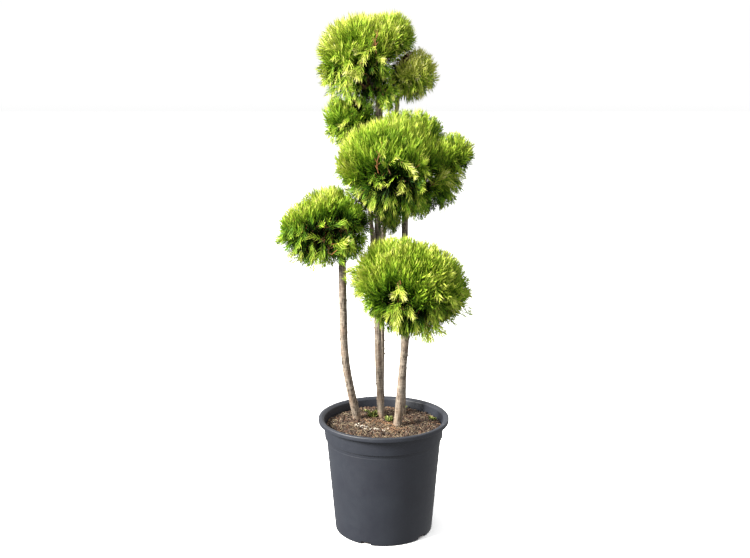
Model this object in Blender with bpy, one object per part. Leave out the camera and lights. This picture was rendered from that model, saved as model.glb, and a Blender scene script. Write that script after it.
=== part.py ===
"""Potted arborvitae ball topiary, as a clump of stems in a round nursery pot.

Five stems rise from the potting soil, one of them forks, and each of the six ends is clipped to a ball of
foliage. A ball is one or more rounded lobes that share one core. Twigs run out from each lobe's heart, and
every twig carries three flat, toothed sprays whose tips end on the clipped surface.

Metres, +Z up. The origin is the centre of the pot's underside, and the front of the plant faces -Y.
"""

import math
import random

import bmesh
import bpy
from mathutils import Matrix, Vector

UP = Vector((0.0, 0.0, 1.0))
GAP = 0.0003  # between pieces that meet

# Pot: a turned plastic container with a rolled lip over a stepped collar
POT_HEIGHT = 0.243
LIP_RADIUS = 0.135
LIP_WIDTH = 0.0065
LIP_DEPTH = 0.0095
LIP_EDGE = 0.0012
COLLAR_TOP_RADIUS = 0.1248
COLLAR_FOOT_RADIUS = 0.1222
COLLAR_FOOT_HEIGHT = 0.194
COLLAR_STEP = 0.0032
COLLAR_STEP_RISE = 0.0025
BASE_RADIUS = 0.1015
BASE_EDGE = 0.0015
POT_WALL = 0.0022
POT_FLOOR = 0.0030
INNER_STEP_RISE = 0.004
POT_SIDES = 40
DRAIN_COUNT = 5
DRAIN_WIDTH = 0.022
DRAIN_HEIGHT = 0.0065
DRAIN_DEPTH = 0.016
DRAIN_OVERHANG = 0.004  # of the cutter, past the wall
DRAIN_FIRST_ANGLE = -21.0  # degrees, from the front of the pot

# Potting soil, level where the stems stand and lower along the wall
SOIL_LEVEL = 0.222
SOIL_EDGE_DROP = 0.004
SOIL_FLAT_SHARE = 0.80

# Stems: centre line points as (x, y, z), radius above the flare, radius at the tip
STEM_SIDES = 8
STATION_STEP = 0.045
FLARE_HEIGHT = 0.022
FLARE_SHARE = 0.30
FLARE_STATIONS = (0.4, 1.0)
LIMBS = {
    "stem_left": {
        "line": (
            (-0.056, 0.036, SOIL_LEVEL),
            (-0.072, 0.012, 0.308),
            (-0.081, -0.002, 0.380),
            (-0.083, -0.014, 0.480),
            (-0.0835, -0.026, 0.575),
        ),
        "radius": (0.0075, 0.0062),
    },
    "stem_centre": {
        "line": (
            (-0.008, 0.046, SOIL_LEVEL),
            (-0.012, 0.056, 0.410),
            (-0.011, 0.084, 0.700),
            (-0.009, 0.083, 0.890),
        ),
        "radius": (0.0080, 0.0062),
    },
    "stem_centre_back": {
        "line": (
            (-0.004, 0.070, SOIL_LEVEL),
            (-0.0025, 0.076, 0.410),
            (0.002, 0.102, 0.660),
            (0.028, 0.090, 0.883),
        ),
        "radius": (0.0050, 0.0040),
    },
    "stem_right": {
        "line": ((0.029, -0.008, SOIL_LEVEL), (0.0375, -0.022, 0.335), (0.044, -0.053, 0.427)),
        "radius": (0.0080, 0.0072),
    },
    "stem_right_back": {
        "line": (
            (0.040, 0.066, SOIL_LEVEL),
            (0.044, 0.058, 0.430),
            (0.0435, 0.040, 0.600),
            (0.043, 0.018, 0.667),
        ),
        "radius": (0.0070, 0.0060),
    },
}
# The bough leaves the central stem sideways at this height, then turns up
BOUGH_FORK_HEIGHT = 0.500
BOUGH_FORK_BEARING = Vector((-0.93, -0.37, 0.0)).normalized()
BOUGH_BEND = 0.010
BOUGH_BEND_ANGLES = (0, 25, 50, 75)
BOUGH_LINE = ((-0.0235, 0.066, 0.610), (-0.034, 0.084, 0.710), (-0.043, 0.092, 0.799))
BOUGH_RADIUS = (0.0050, 0.0042)

# Balls: lobes as (centre, radii), to the tips of the sprays. The first lobe holds the stem's end.
BALLS = {
    "ball_left": {
        "limb": "stem_left",
        "lobes": (
            ((-0.131, -0.030, 0.641), (0.087, 0.086, 0.083)),
            ((-0.068, -0.036, 0.666), (0.060, 0.062, 0.072)),
        ),
    },
    "ball_right_low": {
        "limb": "stem_right",
        "lobes": (
            ((0.057, -0.080, 0.526), (0.121, 0.108, 0.104)),
            ((0.006, -0.076, 0.568), (0.065, 0.066, 0.064)),
            ((-0.038, -0.072, 0.545), (0.037, 0.038, 0.042)),
        ),
    },
    "ball_middle": {
        "limb": "stem_right_back",
        "lobes": (
            ((0.012, -0.030, 0.756), (0.118, 0.106, 0.108)),
            ((0.125, -0.012, 0.782), (0.061, 0.066, 0.056)),
            ((0.104, -0.016, 0.720), (0.056, 0.060, 0.056)),
            ((0.067, 0.020, 0.831), (0.062, 0.056, 0.050)),
            ((0.011, 0.018, 0.661), (0.037, 0.038, 0.050)),
        ),
    },
    "ball_upper_left": {
        "limb": "bough_upper_left",
        "lobes": (((-0.067, 0.095, 0.858), (0.067, 0.064, 0.068)),),
    },
    "ball_top": {
        "limb": "stem_centre",
        "lobes": (
            ((-0.049, 0.070, 0.974), (0.096, 0.098, 0.096)),
            ((0.015, 0.070, 1.000), (0.057, 0.062, 0.068)),
            ((0.007, 0.050, 0.914), (0.029, 0.030, 0.036)),
        ),
    },
    "ball_top_side": {
        "limb": "stem_centre_back",
        "lobes": (((0.053, 0.085, 0.942), (0.067, 0.065, 0.063)),),
    },
}
HEART_DROP = 0.22  # how far a lobe's heart lies below its centre, as a share of its height radius
CORE_DEPTH = 0.017  # from the clipped surface in to the solid core
TWIGS_PER_AREA = 1 / 0.0064  # twigs for each square metre of clipped surface, as one to so many
FENCE_GAP = 0.0006  # between the foliage of two balls
LIMB_CLEARANCE = 0.0015
STEM_STRAIGHT = 0.012  # a ball's own stem first carries on straight
STEM_END_SHARE = 0.55  # then it runs this share of the way to its first heart
STEM_TAPER = (1.0, 0.96, 0.7)
BRANCH_RADIUS = 0.0045  # of the limbs inside a ball, between its lobes
TWIG_ROOT_RADIUS = 0.0030
TWIG_TIP_RADIUS = 0.0014
TWIG_STOP = 0.014  # short of the clipped surface
SPRAY_LENGTH = 0.042
SIDE_SPRAY_ANGLE = math.radians(40)
SPRAY_HALF_WIDTH = 0.52  # to its length
SPRAY_THICKNESS = 0.06  # to its length, at the middle
CLIP_JITTER = 0.004
BURIED = 0.95  # a spray whose tip lies deeper than this in another lobe of its ball is left out
# Half of a spray's outline from its tip to its root, as (along, across) in shares of length and half width
SPRAY_TEETH = ((0.77, 0.36), (0.84, 1.00))
SPRAY_MIDDLE = 0.60
SEED = 7


def material(name, colour, roughness, metallic=0.0):
    """A plain material with the part's colour (sRGB hex), roughness and metallic value."""
    made = bpy.data.materials.new(name)
    made.use_nodes = True
    surface = made.node_tree.nodes["Principled BSDF"]
    channels = [int(colour[i : i + 2], 16) / 255 for i in (0, 2, 4)]
    linear = [c / 12.92 if c <= 0.04045 else ((c + 0.055) / 1.055) ** 2.4 for c in channels]
    surface.inputs["Base Color"].default_value = (*linear, 1.0)
    surface.inputs["Roughness"].default_value = roughness
    surface.inputs["Metallic"].default_value = metallic
    made.diffuse_color = (*linear, 1.0)
    return made


def new_object(bm, name, finish=None, collection=None):
    """The mesh as an object, its faces turned outwards."""
    bm.normal_update()
    bmesh.ops.recalc_face_normals(bm, faces=bm.faces)
    mesh = bpy.data.meshes.new(name)
    bm.to_mesh(mesh)
    bm.free()
    made = bpy.data.objects.new(name, mesh)
    if finish is not None:
        mesh.materials.append(finish)
    (collection or bpy.context.scene.collection).objects.link(made)
    return made


def shade_round(made, sharp_angle=math.radians(35)):
    made.data.shade_smooth()
    made.data.set_sharp_from_angle(angle=sharp_angle)


def turned(profile, sides):
    """A closed profile of (radius, height) spun round Z, with its points on the axis made one."""
    bm = bmesh.new()
    points = [bm.verts.new((radius, 0.0, height)) for radius, height in profile]
    edges = [bm.edges.new(pair) for pair in zip(points, points[1:])]
    bmesh.ops.spin(
        bm,
        geom=points + edges,
        axis=UP,
        cent=(0.0, 0.0, 0.0),
        angle=math.tau,
        steps=sides,
        use_merge=True,
    )
    bmesh.ops.remove_doubles(bm, verts=bm.verts, dist=1e-5)
    return bm


# --- pot and soil ---


def wall_radius(height):
    """Outer radius of the pot's tapered body."""
    top = COLLAR_FOOT_RADIUS - COLLAR_STEP
    return BASE_RADIUS + (top - BASE_RADIUS) * height / COLLAR_FOOT_HEIGHT


def inner_radius(height):
    """Inner radius of the pot: the wall follows the body, then the collar."""
    if height < COLLAR_FOOT_HEIGHT:
        return wall_radius(height) - POT_WALL
    share = (height - COLLAR_FOOT_HEIGHT) / (POT_HEIGHT - LIP_DEPTH - COLLAR_FOOT_HEIGHT)
    outer = COLLAR_FOOT_RADIUS + (COLLAR_TOP_RADIUS - COLLAR_FOOT_RADIUS) * share
    return outer - POT_WALL


def lip_profile():
    """The rolled lip, from its lower outer corner over the top to its inner edge."""
    middle = LIP_RADIUS - LIP_WIDTH / 2
    round_height = LIP_WIDTH / 2
    crown = POT_HEIGHT - round_height
    under_lip = POT_HEIGHT - LIP_DEPTH
    points = [(LIP_RADIUS - LIP_EDGE, under_lip), (LIP_RADIUS, under_lip + LIP_EDGE)]
    for step in range(5):
        angle = math.pi * step / 4
        points.append((middle + LIP_WIDTH / 2 * math.cos(angle), crown + round_height * math.sin(angle)))
    return points


def make_pot(finish):
    """The empty pot: a tapered body, a stepped collar and a rolled lip, open at the top."""
    under_lip = POT_HEIGHT - LIP_DEPTH
    step_foot = COLLAR_FOOT_HEIGHT - COLLAR_STEP_RISE
    inner_step = COLLAR_FOOT_HEIGHT - INNER_STEP_RISE
    profile = [
        (0.0, 0.0),
        (BASE_RADIUS - BASE_EDGE, 0.0),
        (BASE_RADIUS, BASE_EDGE),
        (wall_radius(step_foot), step_foot),
        (COLLAR_FOOT_RADIUS, COLLAR_FOOT_HEIGHT),
        (COLLAR_TOP_RADIUS, under_lip),
        *lip_profile(),
        (inner_radius(under_lip), under_lip),
        (inner_radius(COLLAR_FOOT_HEIGHT), COLLAR_FOOT_HEIGHT),
        (inner_radius(inner_step), inner_step),
        (inner_radius(POT_FLOOR), POT_FLOOR),
        (0.0, POT_FLOOR),
    ]
    pot = new_object(turned(profile, POT_SIDES), "pot", finish)
    for index in range(DRAIN_COUNT):
        bearing = math.radians(DRAIN_FIRST_ANGLE + index * 360 / DRAIN_COUNT)
        cutter = drain_cutter(index, bearing)
        cut = pot.modifiers.new(f"drain_{index}", "BOOLEAN")
        cut.operation = "DIFFERENCE"
        cut.solver = "EXACT"
        cut.object = cutter
    shade_round(pot)
    return pot


def drain_cutter(index, bearing):
    """A block that opens a drain slot through the foot of the wall, at this angle from the front."""
    bm = bmesh.new()
    bmesh.ops.create_cube(bm, size=1.0)
    centre = BASE_RADIUS + DRAIN_OVERHANG - DRAIN_DEPTH / 2
    place = (
        Matrix.Rotation(bearing, 4, "Z")
        @ Matrix.Translation((0.0, -centre, 0.0))
        @ Matrix.Diagonal((DRAIN_WIDTH, DRAIN_DEPTH, 2 * DRAIN_HEIGHT, 1.0))
    )
    bm.transform(place)
    cutter = new_object(bm, f"drain_cutter_{index}")
    cutter.hide_render = True
    cutter.display_type = "WIRE"
    return cutter


def make_soil(finish):
    """The potting soil, 0.3 mm clear of the pot all round."""
    inner_step = COLLAR_FOOT_HEIGHT - INNER_STEP_RISE
    edge_level = SOIL_LEVEL - SOIL_EDGE_DROP
    foot = POT_FLOOR + GAP
    profile = [
        (0.0, foot),
        (inner_radius(foot) - GAP, foot),
        (inner_radius(inner_step) - GAP, inner_step),
        (inner_radius(COLLAR_FOOT_HEIGHT) - GAP, COLLAR_FOOT_HEIGHT),
        (inner_radius(edge_level) - GAP, edge_level),
        (inner_radius(edge_level) * (1 + SOIL_FLAT_SHARE) / 2, SOIL_LEVEL - SOIL_EDGE_DROP / 4),
        (inner_radius(edge_level) * SOIL_FLAT_SHARE, SOIL_LEVEL),
        (0.0, SOIL_LEVEL),
    ]
    soil = new_object(turned(profile, POT_SIDES), "potting_soil", finish)
    shade_round(soil)
    return soil


# --- stems ---


def smooth_line(points, step):
    """Points about one step apart on a smooth curve through the given ones."""
    points = [Vector(p) for p in points]
    ends = [2 * points[0] - points[1], *points, 2 * points[-1] - points[-2]]
    line = []
    for before, start, end, after in zip(ends, ends[1:], ends[2:], ends[3:]):
        spans = max(1, round((end - start).length / step))
        for index in range(spans):
            t = index / spans
            line.append(
                0.5
                * (
                    2 * start
                    + (end - before) * t
                    + (2 * before - 5 * start + 4 * end - after) * t**2
                    + (3 * start - before - 3 * end + after) * t**3
                )
            )
    return [*line, points[-1]]


def directions(line):
    """The line's direction at each of its points."""
    ends = [line[0], *line, line[-1]]
    return [(after - before).normalized() for before, after in zip(ends, ends[2:])]


def across(heading, axis):
    """The heading turned square to the axis."""
    return (heading - heading.project(axis)).normalized()


def limb_radii(line, radius, flare):
    """Radius at each point: an even taper, with a flare at the foot of a stem."""
    foot, tip = radius
    total = sum((b - a).length for a, b in zip(line, line[1:]))
    radii, run = [], 0.0
    for index, point in enumerate(line):
        if index:
            run += (point - line[index - 1]).length
        swell = FLARE_SHARE * max(0.0, 1 - run / FLARE_HEIGHT) if flare else 0.0
        radii.append((foot + (tip - foot) * run / total) * (1 + swell))
    return radii


def tube(line, radii, first_direction, sides):
    """A closed tapering tube: one ring extruded from station to station."""
    bm = bmesh.new()
    heading = first_direction
    place = Matrix.Translation(line[0]) @ UP.rotation_difference(heading).to_matrix().to_4x4()
    bmesh.ops.create_circle(bm, cap_ends=True, segments=sides, radius=radii[0], matrix=place)
    face = bm.faces[:][0]
    for index in range(1, len(line)):
        new_heading = directions(line)[index]
        made = bmesh.ops.extrude_face_region(bm, geom=[face])["geom"]
        ring = [v for v in made if isinstance(v, bmesh.types.BMVert)]
        next_face = next(f for f in made if isinstance(f, bmesh.types.BMFace))
        if index > 1:
            bm.faces.remove(face)
        turn = heading.rotation_difference(new_heading).to_matrix()
        for vert in ring:
            arm = (vert.co - line[index - 1]) * radii[index] / radii[index - 1]
            vert.co = line[index] + turn @ arm
        face, heading = next_face, new_heading
    return bm


def flared_line(points):
    """A stem's stations, with two more close to the soil for the root flare."""
    line = smooth_line(points, STATION_STEP)
    rise = (line[1] - line[0]) / (line[1].z - line[0].z)
    low = [line[0] + rise * FLARE_HEIGHT * share for share in FLARE_STATIONS]
    return [line[0], *low, *line[1:]]


def bough_line(trunk):
    """The bough's line, from 0.3 mm clear of the central stem's bark."""
    line, radii = trunk
    index = next(i for i, p in enumerate(line) if p.z > BOUGH_FORK_HEIGHT)
    low, high = line[index - 1], line[index]
    on_axis = low.lerp(high, (BOUGH_FORK_HEIGHT - low.z) / (high.z - low.z))
    bearing = across(BOUGH_FORK_BEARING, high - low)
    start = on_axis + bearing * (radii[index - 1] + GAP)
    turns = [math.radians(angle) for angle in BOUGH_BEND_ANGLES]
    bend = [start + (bearing * math.sin(turn) + UP * (1 - math.cos(turn))) * BOUGH_BEND for turn in turns]
    return [*bend[:-1], *smooth_line((bend[-1], *BOUGH_LINE), STATION_STEP)], bearing


def make_limbs(finish):
    """The stems and the bough as objects, and each one's line and radii by name."""
    limbs = {}
    for name, limb in LIMBS.items():
        line = flared_line(limb["line"])
        line[0] = line[0] + UP * GAP
        limbs[name] = (line, limb_radii(line, limb["radius"], flare=True))
    line, bearing = bough_line(limbs["stem_centre"])
    limbs["bough_upper_left"] = (line, limb_radii(line, BOUGH_RADIUS, flare=False))
    for name, (line, radii) in limbs.items():
        first = bearing if name == "bough_upper_left" else UP
        shade_round(new_object(tube(line, radii, first, STEM_SIDES), name, finish), math.radians(60))
    return limbs


# --- balls of foliage ---


def lobe_heart(lobe):
    centre, radii = lobe
    return Vector(centre) - UP * radii[2] * HEART_DROP


def depth_in(lobe, point):
    """0 at the lobe's centre, 1 on its surface and over 1 outside it."""
    centre, radii = lobe
    return math.sqrt(sum(((point[i] - centre[i]) / radii[i]) ** 2 for i in range(3)))


def way_out(lobe, start, heading):
    """Distance from a point in the lobe to its surface along a direction."""
    centre, radii = lobe
    p = [(start[i] - centre[i]) / radii[i] for i in range(3)]
    q = [heading[i] / radii[i] for i in range(3)]
    a, b, c = (sum(x * y for x, y in zip(m, n)) for m, n in ((q, q), (p, q), (p, p)))
    return (-b + math.sqrt(b * b - a * (c - 1))) / a


def golden_directions(count):
    """Directions spread evenly over a sphere."""
    turn = math.pi * (3 - math.sqrt(5))
    for index in range(count):
        height = 1 - (2 * index + 1) / count
        flat = math.sqrt(1 - height * height)
        yield Vector((flat * math.cos(turn * index), flat * math.sin(turn * index), height))


def surface_area(lobe):
    """Near enough the area of the lobe's ellipsoid (Thomsen's formula)."""
    a, b, c = lobe[1]
    power = 1.6075
    mean = ((a * b) ** power + (a * c) ** power + (b * c) ** power) / 3
    return 4 * math.pi * mean ** (1 / power)


def fences():
    """For each ball, (lobe, point, outward normal) of planes that part its lobes from those of other balls."""
    found = {name: [] for name in BALLS}
    named = [(name, lobe) for name, ball in BALLS.items() for lobe in ball["lobes"]]
    for index, (name, lobe) in enumerate(named):
        for other, second in named[index + 1 :]:
            if other == name:
                continue
            a, b = Vector(lobe[0]), Vector(second[0])
            heading = (b - a).normalized()
            reach = way_out(lobe, a, heading)
            back = way_out(second, b, -heading)
            distance = (b - a).length
            if reach + back < distance - FENCE_GAP:
                continue
            at = a + heading * (reach + (distance - reach - back) / 2)
            found[name].append((lobe, at - heading * FENCE_GAP / 2, heading))
            found[other].append((second, at + heading * FENCE_GAP / 2, -heading))
    return found


def distance_to_limb(point, limb):
    """Distance from a point to a limb's bark: negative inside it."""
    line, radii = limb
    nearest = math.inf
    for (a, b), (ra, rb) in zip(zip(line, line[1:]), zip(radii, radii[1:])):
        span = b - a
        share = min(1.0, max(0.0, (point - a).dot(span) / span.length_squared))
        nearest = min(nearest, (point - a - span * share).length - (ra + (rb - ra) * share))
    return nearest


def spray_outline():
    """The toothed outline of a spray of unit length and half width, from its tip round to its tip."""
    back = [(along, -width) for along, width in reversed(SPRAY_TEETH)]
    return [(1.0, 0.0), *SPRAY_TEETH, (0.0, 0.0), *back]


def spray_mesh(root, heading, normal, length):
    """A toothed blade of scale-leaf foliage: flat, thickest at its middle and sharp at its edge."""
    side = normal.cross(heading) * length * SPRAY_HALF_WIDTH
    bm = bmesh.new()
    rim = [bm.verts.new(root + heading * along * length + side * over) for along, over in spray_outline()]
    middle = root + heading * length * SPRAY_MIDDLE
    for turn in (1, -1):
        apex = bm.verts.new(middle + normal * turn * length * SPRAY_THICKNESS / 2)
        for a, b in zip(rim, rim[1:] + rim[:1]):
            bm.faces.new((a, b, apex))
    return bm


def spray_points(root, heading, normal, length):
    """Points all over a spray, to test it against limbs and fences."""
    side = normal.cross(heading) * length * SPRAY_HALF_WIDTH
    for along, over in spray_outline():
        for share in (0.0, 0.5, 1.0):
            yield root + heading * along * length + side * over * share


def twig_mesh(start, end):
    """A three-sided tapering twig."""
    return tube([start, end], [TWIG_ROOT_RADIUS, TWIG_TIP_RADIUS], (end - start).normalized(), 3)


def core_mesh(lobe):
    """The dense inside of a lobe, the same depth below its clipped surface all over."""
    centre, radii = lobe
    bm = bmesh.new()
    bmesh.ops.create_icosphere(bm, subdivisions=2, radius=1.0)
    scale = [r - CORE_DEPTH for r in radii]
    bm.transform(Matrix.Translation(centre) @ Matrix.Diagonal((*scale, 1.0)))
    return bm


def fence_cut(bm, lobe, planes):
    """Cuts a lobe's core off flat at the fences round it."""
    for owner, at, normal in planes:
        if owner != lobe:
            continue
        geometry = bm.verts[:] + bm.edges[:] + bm.faces[:]
        cut = bmesh.ops.bisect_plane(bm, geom=geometry, plane_co=at, plane_no=normal, clear_outer=True)
        rim = [e for e in cut["geom_cut"] if isinstance(e, bmesh.types.BMEdge)]
        if rim:
            bmesh.ops.edgeloop_fill(bm, edges=rim)


def twig_headings(lobe):
    """Headings of a lobe's twigs from its heart, spread evenly over its clipped surface."""
    heart = lobe_heart(lobe)
    for spread in golden_directions(round(surface_area(lobe) * TWIGS_PER_AREA)):
        target = Vector(lobe[0]) + Vector(s * r for s, r in zip(spread, lobe[1]))
        yield (target - heart).normalized()


def sprays_of(lobe, heart, heading, rng):
    """The end spray and two side sprays of one twig, as (root, heading, normal, length) of each."""
    reach = way_out(lobe, heart, heading)
    sideways = Matrix.Rotation(rng.uniform(0, math.tau), 3, heading) @ heading.orthogonal().normalized()
    turns = [0.0, *(side * SIDE_SPRAY_ANGLE * rng.uniform(0.8, 1.2) for side in (-1, 1))]
    root = heart + heading * max(0.0, reach - SPRAY_LENGTH)
    for turn in turns:
        outward = Matrix.Rotation(turn, 3, sideways) @ heading
        length = way_out(lobe, root, outward) - rng.uniform(0.0, CLIP_JITTER)
        roll = Matrix.Rotation(rng.uniform(0, math.pi), 3, outward)
        yield root, outward, roll @ outward.orthogonal().normalized(), length


def ball_pieces(name, limbs, planes, rng):
    """Meshes of one ball's own stem, twigs and sprays, all within its space and clear of every limb."""
    ball = BALLS[name]
    line, radii = limbs[ball["limb"]]
    heading = directions(line)[-1]
    heart = lobe_heart(ball["lobes"][0])
    start = line[-1] + heading * GAP
    joint = start + heading * STEM_STRAIGHT
    end = joint.lerp(heart, STEM_END_SHARE)
    stem_radii = [radii[-1] * share for share in STEM_TAPER]
    yield tube([start, joint, end], stem_radii, heading, STEM_SIDES)
    for lobe in ball["lobes"][1:]:
        branch = [end, lobe_heart(lobe)]
        yield tube(branch, [BRANCH_RADIUS, BRANCH_RADIUS], directions(branch)[0], 6)

    def allowed(lobe, points):
        for point in points:
            if any((point - at).dot(normal) > 0 for owner, at, normal in planes if owner == lobe):
                return False
            if any(distance_to_limb(point, limb) < LIMB_CLEARANCE for limb in limbs.values()):
                return False
        return True

    for lobe in ball["lobes"]:
        others = [other for other in ball["lobes"] if other is not lobe]
        heart = lobe_heart(lobe)
        for heading in twig_headings(lobe):
            reach = way_out(lobe, heart, heading)
            twig_end = heart + heading * (reach - TWIG_STOP)
            sprays = [
                spray
                for spray in sprays_of(lobe, heart, heading, rng)
                if not any(depth_in(other, spray[0] + spray[1] * spray[3]) < BURIED for other in others)
                and allowed(lobe, spray_points(*spray))
            ]
            if not sprays or not allowed(lobe, (heart.lerp(twig_end, share / 8) for share in range(4, 9))):
                continue
            yield twig_mesh(heart, twig_end)
            for spray in sprays:
                yield spray_mesh(*spray)


def largest_body(mesh):
    """Drops loose scraps and sealed hollows: what isn't joined to the largest run of faces."""
    bm = bmesh.new()
    bm.from_mesh(mesh)
    left, bodies = set(bm.faces), []
    while left:
        run, todo = set(), [left.pop()]
        while todo:
            face = todo.pop()
            run.add(face)
            near = {f for edge in face.edges for f in edge.link_faces if f in left}
            left -= near
            todo += near
        bodies.append(run)
    keep = max(bodies, key=len)
    bmesh.ops.delete(bm, geom=[f for f in bm.faces if f not in keep], context="FACES")
    bmesh.ops.triangulate(bm, faces=bm.faces)
    bm.to_mesh(mesh)
    bm.free()


def make_ball(name, limbs, planes, finish):
    """One Boolean union of a ball's cores, stem, twigs and sprays, applied."""
    rng = random.Random(f"{SEED} {name}")
    pieces = bpy.data.collections.new(f"{name}_pieces")
    bpy.context.scene.collection.children.link(pieces)
    cores = []
    for lobe in BALLS[name]["lobes"]:
        bm = core_mesh(lobe)
        fence_cut(bm, lobe, planes)
        cores.append(bm)
    ball = new_object(cores[0], name, finish)
    for index, bm in enumerate([*cores[1:], *ball_pieces(name, limbs, planes, rng)]):
        new_object(bm, f"{name}_piece_{index}", collection=pieces)
    union = ball.modifiers.new("union", "BOOLEAN")
    union.operation = "UNION"
    union.solver = "MANIFOLD"
    union.operand_type = "COLLECTION"
    union.collection = pieces
    joined = bpy.data.meshes.new_from_object(ball.evaluated_get(bpy.context.evaluated_depsgraph_get()))
    ball.modifiers.clear()
    ball.data = joined
    for piece in list(pieces.objects):
        bpy.data.objects.remove(piece)
    bpy.data.collections.remove(pieces)
    largest_body(joined)
    joined.materials.clear()
    joined.materials.append(finish)
    return ball


def main():
    for old in list(bpy.data.objects):
        bpy.data.objects.remove(old)
    make_pot(material("pot_plastic", "3E4148", 0.42))
    make_soil(material("potting_soil", "5A4636", 0.95))
    limbs = make_limbs(material("bark", "8A7763", 0.85))
    foliage = material("foliage", "6F9A1E", 0.60)
    planes = fences()
    for name in BALLS:
        make_ball(name, limbs, planes[name], foliage)


main()
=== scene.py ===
"""Potted arborvitae ball topiary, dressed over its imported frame.

The stems and the bough get bark in relief. Each ball of foliage grows from its limb's end by the same rule
as the solids under it: boughs run to each lobe's heart, twigs spread from the heart, twiglets leave the
twigs, and every twiglet carries a flat spray whose tip ends close to the clipped surface.

Metres, +Z up. The front of the plant faces -Y.
"""

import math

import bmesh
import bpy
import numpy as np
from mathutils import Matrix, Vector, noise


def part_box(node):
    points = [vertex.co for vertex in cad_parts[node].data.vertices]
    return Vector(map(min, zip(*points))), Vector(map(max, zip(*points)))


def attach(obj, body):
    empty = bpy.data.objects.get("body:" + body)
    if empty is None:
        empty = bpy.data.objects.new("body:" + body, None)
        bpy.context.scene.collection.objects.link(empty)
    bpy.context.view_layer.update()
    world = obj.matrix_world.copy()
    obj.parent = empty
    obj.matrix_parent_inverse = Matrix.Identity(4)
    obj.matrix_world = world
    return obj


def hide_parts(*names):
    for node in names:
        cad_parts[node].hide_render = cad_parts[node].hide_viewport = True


bl_info = {
    "name": "Potted ball topiary",
    "version": (1, 0, 0),
    "blender": (4, 5, 0),
    "location": "View3D > Sidebar > Topiary",
    "description": "Builds the pot, soil, bark and foliage of a ball topiary over its frame",
    "category": "Object",
}

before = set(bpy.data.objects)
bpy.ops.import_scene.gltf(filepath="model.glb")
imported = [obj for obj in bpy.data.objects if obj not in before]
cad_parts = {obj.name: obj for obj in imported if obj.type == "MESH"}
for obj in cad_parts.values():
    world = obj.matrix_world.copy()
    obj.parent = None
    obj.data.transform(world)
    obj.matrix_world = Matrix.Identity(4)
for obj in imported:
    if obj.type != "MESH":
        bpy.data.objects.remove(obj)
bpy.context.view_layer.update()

BODY = "root"
UP = Vector((0.0, 0.0, 1.0))
SEED = 11

# Pot: the collar stands out from the wall by a step, and its lip is rolled over
COLLAR_TOP_RADIUS = 0.1255
COLLAR_FOOT_RADIUS = 0.1230
COLLAR_FOOT_HEIGHT = 0.202
COLLAR_STEP = 0.0032
COLLAR_STEP_RISE = 0.0025
BASE_RADIUS = 0.1024
COLLAR_BAND_HEIGHT = 0.210
BASE_BAND_HEIGHT = 0.012
LIP_WIDTH = 0.0068
LIP_DEPTH = 0.0095
POT_WALL = 0.0022
POT_FLOOR = 0.0030
INNER_STEP_RISE = 0.004
POT_STEPS = 144
DRAIN_COUNT = 5
DRAIN_WIDTH = 0.022
DRAIN_HEIGHT = 0.0065
DRAIN_DEPTH = 0.016
DRAIN_OVERHANG = 0.004
DRAIN_FIRST_ANGLE = -21.0
DRAIN_EASE = 0.0018
# A shallow moulded line under the collar
RING_HEIGHT = 0.1935
RING_HALF_WIDTH = 0.0011
RING_DEPTH = 0.00020
CORNER_EASE = 0.0011
CORNER_STEPS = 5
SHARP_ANGLE = 38

# Soil
SOIL_LEVEL = 0.225
SOIL_EDGE_DROP = 0.004
SOIL_FLAT_SHARE = 0.80
SOIL_GAP = 0.0003
SOIL_STEPS = 160
SOIL_RINGS = 56
CRUMB_SHAPES = 4

# Limbs: centre line points, radius above the root flare and at the tip
LIMBS = {
    "stem_left": {
        "line": (
            (-0.056, 0.036, SOIL_LEVEL),
            (-0.0715, 0.012, 0.308),
            (-0.0805, -0.002, 0.380),
            (-0.0825, -0.014, 0.480),
            (-0.083, -0.026, 0.575),
        ),
        "radius": (0.0087, 0.0076),
    },
    "stem_centre": {
        "line": (
            (-0.0058, 0.046, SOIL_LEVEL),
            (-0.0125, 0.056, 0.410),
            (-0.0115, 0.084, 0.700),
            (-0.009, 0.083, 0.890),
        ),
        "radius": (0.0073, 0.0077),
    },
    "stem_centre_back": {
        "line": (
            (-0.004, 0.070, SOIL_LEVEL),
            (-0.0027, 0.076, 0.410),
            (0.002, 0.102, 0.660),
            (0.028, 0.090, 0.883),
        ),
        "radius": (0.0050, 0.0044),
    },
    "stem_right": {
        "line": ((0.029, -0.008, SOIL_LEVEL), (0.0375, -0.022, 0.335), (0.044, -0.053, 0.427)),
        "radius": (0.0085, 0.0077),
    },
    "stem_right_back": {
        "line": (
            (0.040, 0.066, SOIL_LEVEL),
            (0.044, 0.058, 0.430),
            (0.0435, 0.040, 0.600),
            (0.043, 0.018, 0.667),
        ),
        "radius": (0.0073, 0.0067),
    },
}
BOUGH = "bough_upper_left"
BOUGH_FORK_HEIGHT = 0.500
BOUGH_FORK_BEARING = Vector((-0.93, -0.37, 0.0)).normalized()
# Rise and reach from the fork of the points where the bough parts from its stem
BOUGH_PARTING = ((-0.036, 0.001), (-0.014, 0.005), (0.010, 0.0125), (0.045, 0.0155))
BOUGH_LINE = ((-0.0235, 0.066, 0.610), (-0.034, 0.084, 0.710), (-0.043, 0.092, 0.799))
BOUGH_RADIUS = (0.0050, 0.0042)

# Bark: limbs of a smaller radius than THIN_LIMB have fewer sides, and each stem's foot is sunk in the soil
BARK_STEP = 0.0026
BARK_SIDES = 26
THIN_LIMB = 0.006
THIN_LIMB_SIDES = 20
SUNK_FOOT = 0.006
KNOT_SPACING = 0.021
KNOT_HEIGHT = 0.0011
FLARE = 0.16
FLARE_RISE = 0.010
STUB_SPACING = 0.030

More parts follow.
